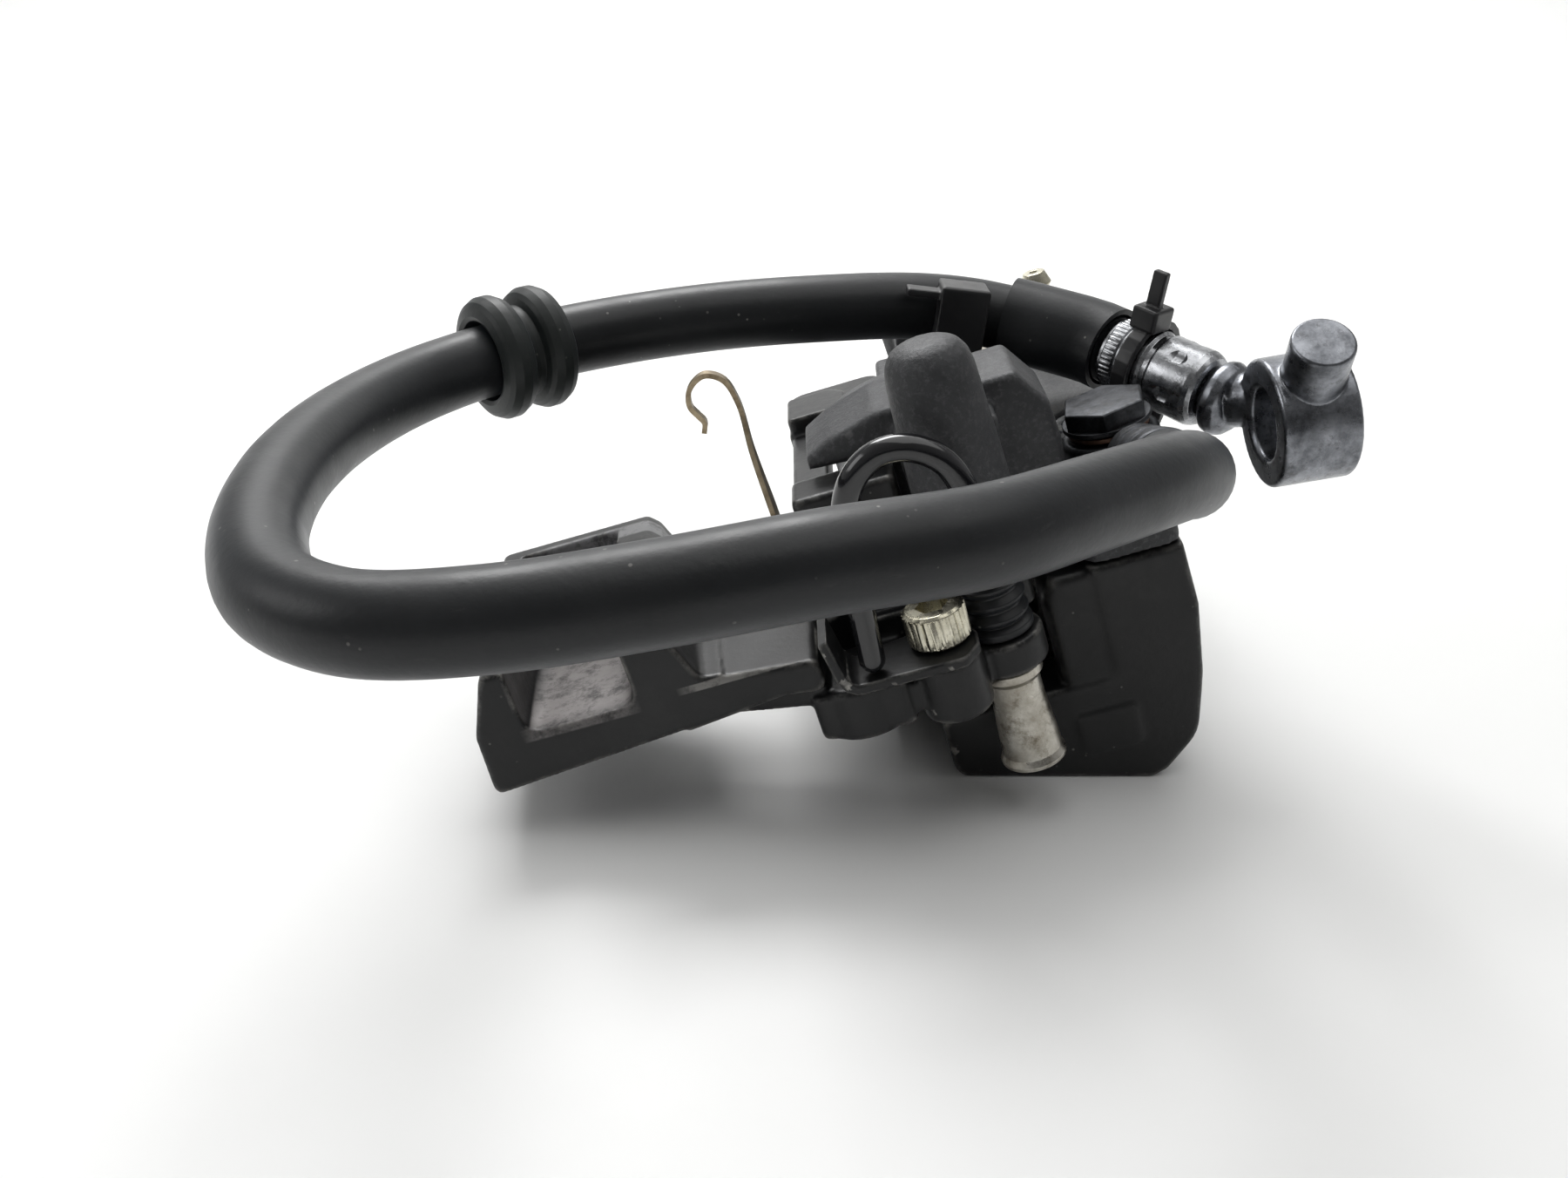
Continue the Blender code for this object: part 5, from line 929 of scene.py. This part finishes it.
def hose_group(z_eye, eye_t):
    banjo_mid = AXLE @ Vector((BANJO_X, BANJO_Y, z_eye + eye_t / 2.0))
    out_dir = Vector((0.12, -0.985, 0.12)).normalized()
    up_axle = (AXLE.to_3x3() @ Vector((0, 0, 1))).normalized()
    out_dir = (out_dir - up_axle * out_dir.dot(up_axle)).normalized()
    out_dir = (out_dir + up_axle * 0.2).normalized()
    flat = Matrix.Identity(4)
    # caliper-end banjo: eye, neck and crimped ferrule
    ring = put("banjo_caliper", lathe([(5.2, -eye_t / 2), (6.6, -eye_t / 2), (7.2, -eye_t / 2 + 0.6), (7.2, eye_t / 2 - 0.6), (6.6, eye_t / 2), (5.2, eye_t / 2)], 24,
                                      banjo_mid, up_axle), frame=flat, origin=banjo_mid)
    neck = lathe([(0.0, 6.8), (2.6, 6.8), (2.9, 11.2), (0.0, 11.2)], 20, banjo_mid, out_dir)
    add(ring, put("neck", neck, frame=flat))
    # the eye, neck and ferrule take the zinc darkened as painted shade
    finish(ring, SHADE_AND_TARNISH_ZINC)
    f0 = banjo_mid + out_dir * 11.5
    put("ferrule_caliper", lathe([(0.0, 0.0), (4.0, 0.0), (4.9, 0.9), (5.0, 3.2), (4.7, 3.6), (4.7, 5.0), (5.1, 5.4), (5.1, 7.2), (4.8, 7.6), (4.8, 9.0), (5.3, 9.4), (5.4, 11.4), (5.2, 12.0), (0.0, 12.0)],
                                 18, f0, out_dir), SHADE_AND_TARNISH_ZINC, frame=flat, origin=f0)
    start = f0 + out_dir * (12.0 + 0.4)
    # free end: sleeve, ferrule, banjo eye with stop pin
    a, b, c, e = (SET_OUT @ Vector(FREE_ROUTE[k]) for k in ("sleeve_in", "sleeve_out", "ferrule_out", "eye"))
    d = (c - b).normalized()
    length = (c - b).length
    crimp = [(0.0, 0.3), (5.2, 0.3), (5.35, 0.5), (5.35, 1.0), (5.6, 1.1), (5.6, 3.1), (5.35, 3.2), (5.35, 3.6), (FERRULE_R, 4.0), (FERRULE_R, 7.6), (5.5, 8.1), (5.5, 8.9), (FERRULE_R, 9.4),
             (FERRULE_R, length - 1.6), (FERRULE_R - 0.3, length - 0.8), (FERRULE_R - 0.7, length - 0.2), (FERRULE_R - 1.6, length), (0.0, length)]
    ferrule = put("ferrule_free", lathe(crimp, 22, b, d), frame=flat, origin=b)
    side = d.orthogonal().normalized()
    other = d.cross(side)
    teeth = [((5.72 - (0.0, 0.04, 0.2, 0.04)[k % 4]) * math.cos(math.pi * k / 88), (5.72 - (0.0, 0.04, 0.2, 0.04)[k % 4]) * math.sin(math.pi * k / 88)) for k in range(176)]
    add(ferrule, put("band", sweep([b + d * 1.2, b + d * 3.0], teeth, (0, 0, 1)), frame=flat))
    for k, turn in enumerate((0.5, 1.55, 2.6, 3.65, 4.7, 5.75)):
        dent = b + (side * math.cos(turn) + other * math.sin(turn)) * (FERRULE_R + 1.5) + d * (length - 4.6)
        cut(ferrule, put("dent", lathe([(0.0, -2.2), (1.3, -1.8), (2.0, -0.7), (2.0, 0.7), (1.3, 1.8), (0.0, 2.2)], 24, dent, d), frame=flat))
    finish(ferrule, FERRULE_ZINC)
    axis = Vector(EYE_AXIS).normalized()
    half = EYE_T / 2
    eye = put("banjo_free", lathe([(0.0, -half), (EYE_OD_R - 0.4, -half), (EYE_OD_R, -half + 0.4), (EYE_OD_R, half - 0.4), (EYE_OD_R - 0.4, half), (0.0, half)], 26, e, axis), frame=flat, origin=e)
    side = (c - e) - axis * (c - e).dot(axis)
    root = e + side.normalized() * (EYE_OD_R - 1.6) - axis * 1.5
    neck_route = smooth_route([c + d * (GAP + 0.05), c + d * 2.6, c.lerp(root, 0.62) + d * 0.8, root], 26)
    add(eye, put("neck", round_wire(neck_route, 4.1, 16, dome=False), frame=flat))
    add(eye, put("collar", lathe([(0.0, 0.75), (4.3, 0.75), (5.5, 1.5), (5.75, 2.6), (5.3, 3.8), (4.0, 5.0), (0.0, 5.4)], 22, c, d), frame=flat))
    pin = Vector(PIN_AXIS).normalized()
    pin = (pin - axis * pin.dot(axis)).normalized()
    add(eye, put("stop_pin", lathe([(0.0, EYE_OD_R - 2.2), (STOP_PIN_R, EYE_OD_R - 2.2), (STOP_PIN_R, EYE_OD_R + 6.4), (STOP_PIN_R - 0.3, EYE_OD_R + 6.8), (0.0, EYE_OD_R + 6.8)],
                                   28, e, pin), frame=flat))
    cut(eye, put("eye_bore", lathe([(0.0, -half - 3), (EYE_ID_R + 3.6, -half - 3), (EYE_ID_R, -half + 0.6), (EYE_ID_R, half - 0.6), (EYE_ID_R + 3.6, half + 3), (0.0, half + 3)], 26, e, axis), frame=flat))
    finish(eye, DARK_STEEL)
    # the hose: one self-supporting loop
    s = Vector(SHIFT)
    route = [start, start + out_dir * 5.0] + [s + Vector(p) for p in (
        (50.3, 178.6, 52.0), (48.4, 171.4, 55.2), (43.6, 163.2, 57.6), (33.4, 151.8, 59.4), (20.0, 139.8, 60.6), (4.0, 133.4, 60.6), (-12.0, 130.6, 58.6), (-28.0, 129.2, 56.6), (-41.0, 130.8, 55.4),
        (-50.4, 137.6, 55.0), (-56.0, 149.6, 55.2), (-58.8, 166.0, 55.4), (-58.6, 182.0, 55.2), (-55.6, 198.0, 54.8), (-49.4, 212.6, 54.6), (-39.4, 223.6, 55.2), (-26.0, 231.0, 56.2),
        (-10.0, 235.2, 57.4), (6.0, 238.0, 57.9), (20.0, 240.8, 57.6), (29.0, 241.6, 56.7))] + [a, a.lerp(b, 0.45) + Vector((0.3, 0.6, 0.1)), b - d * 4.0, b - d * 0.4]
    points = smooth_route(route, 58)
    fine = smooth_route(route, 221)
    first = min(range(len(fine)), key=lambda i: (fine[i] - a).length)
    put("hose_sleeve", tube_along(fine[first::2], SLEEVE_R, HOSE_R + 0.5, 22), RUBBER, frame=flat, origin=fine[first])
    line = smooth_route(route, 240)
    curve = bpy.data.curves.new("look_brake_hose", 'CURVE')
    curve.dimensions = '3D'
    spline = curve.splines.new('POLY')
    spline.points.add(len(line) - 1)
    for sp, p in zip(spline.points, line):
        sp.co = (p.x, p.y, p.z, 1.0)
    spline.use_smooth = True
    curve.bevel_depth = HOSE_R
    curve.bevel_resolution = 14
    curve.use_fill_caps = True
    hose = bpy.data.objects.new("look_brake_hose", curve)
    NAMES[hose.name] = "brake_hose"
    curve.materials.append(RUBBER)
    bpy.context.scene.collection.objects.link(hose)
    # grommet: two lobes with a waist between
    best = min(range(len(points)), key=lambda i: (points[i] - (s + Vector((-41.6, 221.8, 55.0)))).length)
    g = points[best]
    tangent = (points[best + 1] - points[best - 1]).normalized()
    ri = HOSE_R + 0.75

    def lobe(z, r, w):
        return [(r - w * 0.55, z - w), (r - 0.25 * w, z - 0.8 * w), (r, z - 0.3 * w), (r, z + 0.3 * w), (r - 0.25 * w, z + 0.8 * w), (r - w * 0.55, z + w)]

    outline = [(ri, -5.9), (ri + 0.7, -6.2)] + lobe(-3.5, 9.2, 2.3) + [(6.9, -0.9), (6.8, 0.0), (6.9, 0.9)] + lobe(3.5, 9.2, 2.3) + [(ri + 0.7, 6.2), (ri, 5.9)]
    put("hose_grommet", lathe(outline, 20, g, tangent), GROMMET, frame=flat, origin=g)
    # clip: collar round the hose, with a tab and a foot on the caliper
    ci = min(range(len(fine)), key=lambda i: (fine[i] - (s + Vector((27.0, 241.6, 57.0)))).length)
    cc = fine[ci]
    ct = (fine[ci + 1] - fine[ci - 1]).normalized()
    cy = Vector((0, 0, 1)).cross(ct).normalized()
    cz = ct.cross(cy)
    toward = Matrix(((ct.x, cy.x, cz.x, cc.x), (ct.y, cy.y, cz.y, cc.y), (ct.z, cy.z, cz.z, cc.z), (0, 0, 0, 1)))
    clip = put("hose_clip", prism([(-3.8, -9.6), (3.8, -9.6), (3.8, 7.4), (-3.8, 7.4)], -14.0, 5.5, 'z', bevel=0.5), frame=toward, origin=(0, 0, 0))
    add(clip, put("tab", prism([(-9.0, -9.0), (-3.0, -9.0), (-3.0, -5.7), (-9.0, -5.7)], 3.3, 4.5, 'z', bevel=0.2, segments=1), frame=toward))
    through = lathe([(0.0, -14.0), (HOSE_R + 0.7, -14.0), (HOSE_R + 0.7, 14.0), (0.0, 14.0)], 24, cc, ct)
    (xa, za), (xb, zb) = SLOPE
    rate = (zb - za) / (xb - xa)
    knee = xa + (HOUSING_TOP - za) / rate
    under = prism([(-10.0, HOUSING_TOP + GAP), (knee, HOUSING_TOP + GAP), (30.0, za + GAP + rate * (30.0 - xa)), (30.0, 0.0), (-10.0, 0.0)], -30.0, 30.0, 'y')
    cut(clip, put("through", through, frame=flat), put("open_back", box(-6.0, 6.0, -3.4, 12.0, 1.6, 12.0), frame=toward), put("under", under))
    finish(clip, NYLON)
    # zip tie round the free ferrule
    tie_mid = b + d * 5.8
    down = Vector((0, 0, -1))
    down = (down - d * down.dot(d)).normalized()
    across = d.cross(down).normalized()
    rad = FERRULE_R + GAP + 0.6
    loop = []
    for k in range(13):
        ang = math.pi * k / 12
        loop.append(tie_mid - down * rad * math.sin(ang) + across * rad * math.cos(ang))
    loop += [tie_mid - across * (rad - 0.4) + down * 3.2, tie_mid - across * 3.6 + down * 6.6]
    for k in range(9):
        ang = math.pi * k / 8
        loop.append(tie_mid + down * 9.0 + across * (4.4 - 2.9 * math.cos(ang)) + down * 3.8 * math.sin(ang))
    loop += [tie_mid + across * rad + down * 3.5]
    strap = sweep([Vector(p) for p in loop], [(-0.6, -1.25), (0.6, -1.25), (0.6, 1.25), (-0.6, 1.25)], d, closed=True)
    tie = put("zip_tie", strap, frame=flat, origin=tie_mid)
    head_mid = tie_mid - down * (rad + 1.4) - across * 1.5
    head_frame = Matrix((( across.x, d.x, -down.x, head_mid.x), (across.y, d.y, -down.y, head_mid.y), (across.z, d.z, -down.z, head_mid.z), (0, 0, 0, 1)))
    add(tie, put("head", box(-2.6, 2.4, -2.2, 2.2, -2.0, 1.6, bevel=0.4), frame=head_frame),
        put("tail", box(-0.9, 0.3, -1.2, 1.2, 0.0, 7.0, bevel=0.15), frame=head_frame))
    finish(tie, NYLON)
    return [p.copy() for p in line]


outer_half()
inner_half()
carrier()
pin_set("front", -1)
pin_set("rear", 1)
piston_and_pads()
Z_EYE, EYE_THICK = fasteners()
stay_group()
HOSE_LINE = hose_group(Z_EYE, EYE_THICK)

# ---------------------------------------------------------------- set the looks on the frame
BODY_OF = {n: b for b, ns in frame["record"]["behaviour"]["bodies"].items() for n in ns}
for ob in [o for o in bpy.data.objects if o.name in NAMES]:
    node = NAMES[ob.name]
    ob.location = ob.location * MM
    if ob.type == 'CURVE':
        ob.data.bevel_depth *= MM
        for p in ob.data.splines[0].points:
            p.co = (p.co.x * MM, p.co.y * MM, p.co.z * MM, 1.0)
    else:
        ob.data.transform(Matrix.Scale(MM, 4))
    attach(ob, BODY_OF[node])
    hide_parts(node)


# ---------------------------------------------------------------- table, light and camera
def table_top():
    """White table that runs up into a pale backdrop, drawn without its wear marks."""
    m = Nodes("table")
    cloud = m.ramp(m.noise(2.2, 4.0, 0.5), [(0.3, (0.80, 0.805, 0.795)), (0.7, (0.86, 0.86, 0.855))])
    m.colour(cloud)
    m.rough(m.ramp(m.noise(30.0, 6.0, 0.6), [(0.3, 0.42), (0.7, 0.48)]))
    m.set(Specular_IOR_Level=0.35)
    bm = bmesh.new()
    rows = []
    profile = [(-1.2, 0.0), (0.10, 0.0), (0.16, 0.0)]
    for k in range(1, 13):
        t = math.radians(90.0 * k / 12)
        profile.append((0.9 + 0.5 * math.sin(t), 0.5 * (1 - math.cos(t))))
    profile.append((1.4, 2.2))
    for y, z in profile:
        rows.append([bm.verts.new((x, y, z)) for x in (-2.5, 2.5)])
    for lo, hi in zip(rows, rows[1:]):
        bm.faces.new((lo[0], lo[1], hi[1], hi[0]))
    mesh = bpy.data.meshes.new("table")
    bm.to_mesh(mesh)
    bm.free()
    for f in mesh.polygons:
        f.use_smooth = True
    ob = bpy.data.objects.new("table", mesh)
    mesh.materials.append(m.mat)
    bpy.context.scene.collection.objects.link(ob)
    return ob


def area(name, place, aim, size, power, tint=(1.0, 1.0, 1.0)):
    data = bpy.data.lights.new(name, 'AREA')
    data.shape = 'RECTANGLE'
    data.size, data.size_y = size
    data.energy = power
    data.color = tint
    ob = bpy.data.objects.new(name, data)
    ob.location = place
    ob.rotation_mode = 'QUATERNION'
    ob.rotation_quaternion = (Vector(aim) - Vector(place)).to_track_quat('-Z', 'Y')
    bpy.context.scene.collection.objects.link(ob)
    return ob


table = table_top()
lights = [
    area("window", (-0.22, 0.62, 0.80), (0.0, 0.0, 0.02), (0.55, 0.40), 7.0),
    area("ceiling", (0.15, 0.10, 1.25), (0.0, 0.0, 0.0), (1.7, 1.3), 8.6, (1.0, 1.0, 0.99)),
    area("wash", (0.0, 0.55, 0.90), (0.0, 1.45, 0.15), (1.8, 0.3), 9.0),
    area("side", (-1.0, -0.15, 0.55), (0.0, 0.0, 0.03), (0.6, 0.4), 1.6),
]
world = bpy.data.worlds.new("room")
bpy.context.scene.world = world
world.use_nodes = True
room = world.node_tree
where = room.nodes.new("ShaderNodeTexCoord")
apart = room.nodes.new("ShaderNodeSeparateXYZ")
room.links.new(where.outputs["Generated"], apart.inputs["Vector"])
fall = room.nodes.new("ShaderNodeMapRange")
fall.inputs["From Min"].default_value = -0.9
fall.inputs["From Max"].default_value = 0.8
fall.inputs["To Min"].default_value = 0.26
fall.inputs["To Max"].default_value = 0.95
room.links.new(apart.outputs["Y"], fall.inputs["Value"])
room.links.new(fall.outputs["Result"], room.nodes["Background"].inputs["Color"])
room.nodes["Background"].inputs["Strength"].default_value = 0.58
camera_data = bpy.data.cameras.new("camera")
camera_data.sensor_width = 36.0
camera_data.lens = 35.16
camera_data.clip_start = 0.01
camera = bpy.data.objects.new("camera", camera_data)
camera.location = (-0.007755, -0.2324, 0.12)
camera.rotation_euler = (math.radians(65.0), 0.0, 0.0)
bpy.context.scene.collection.objects.link(camera)
bpy.context.scene.camera = camera
bpy.context.scene.view_settings.view_transform = 'Standard'
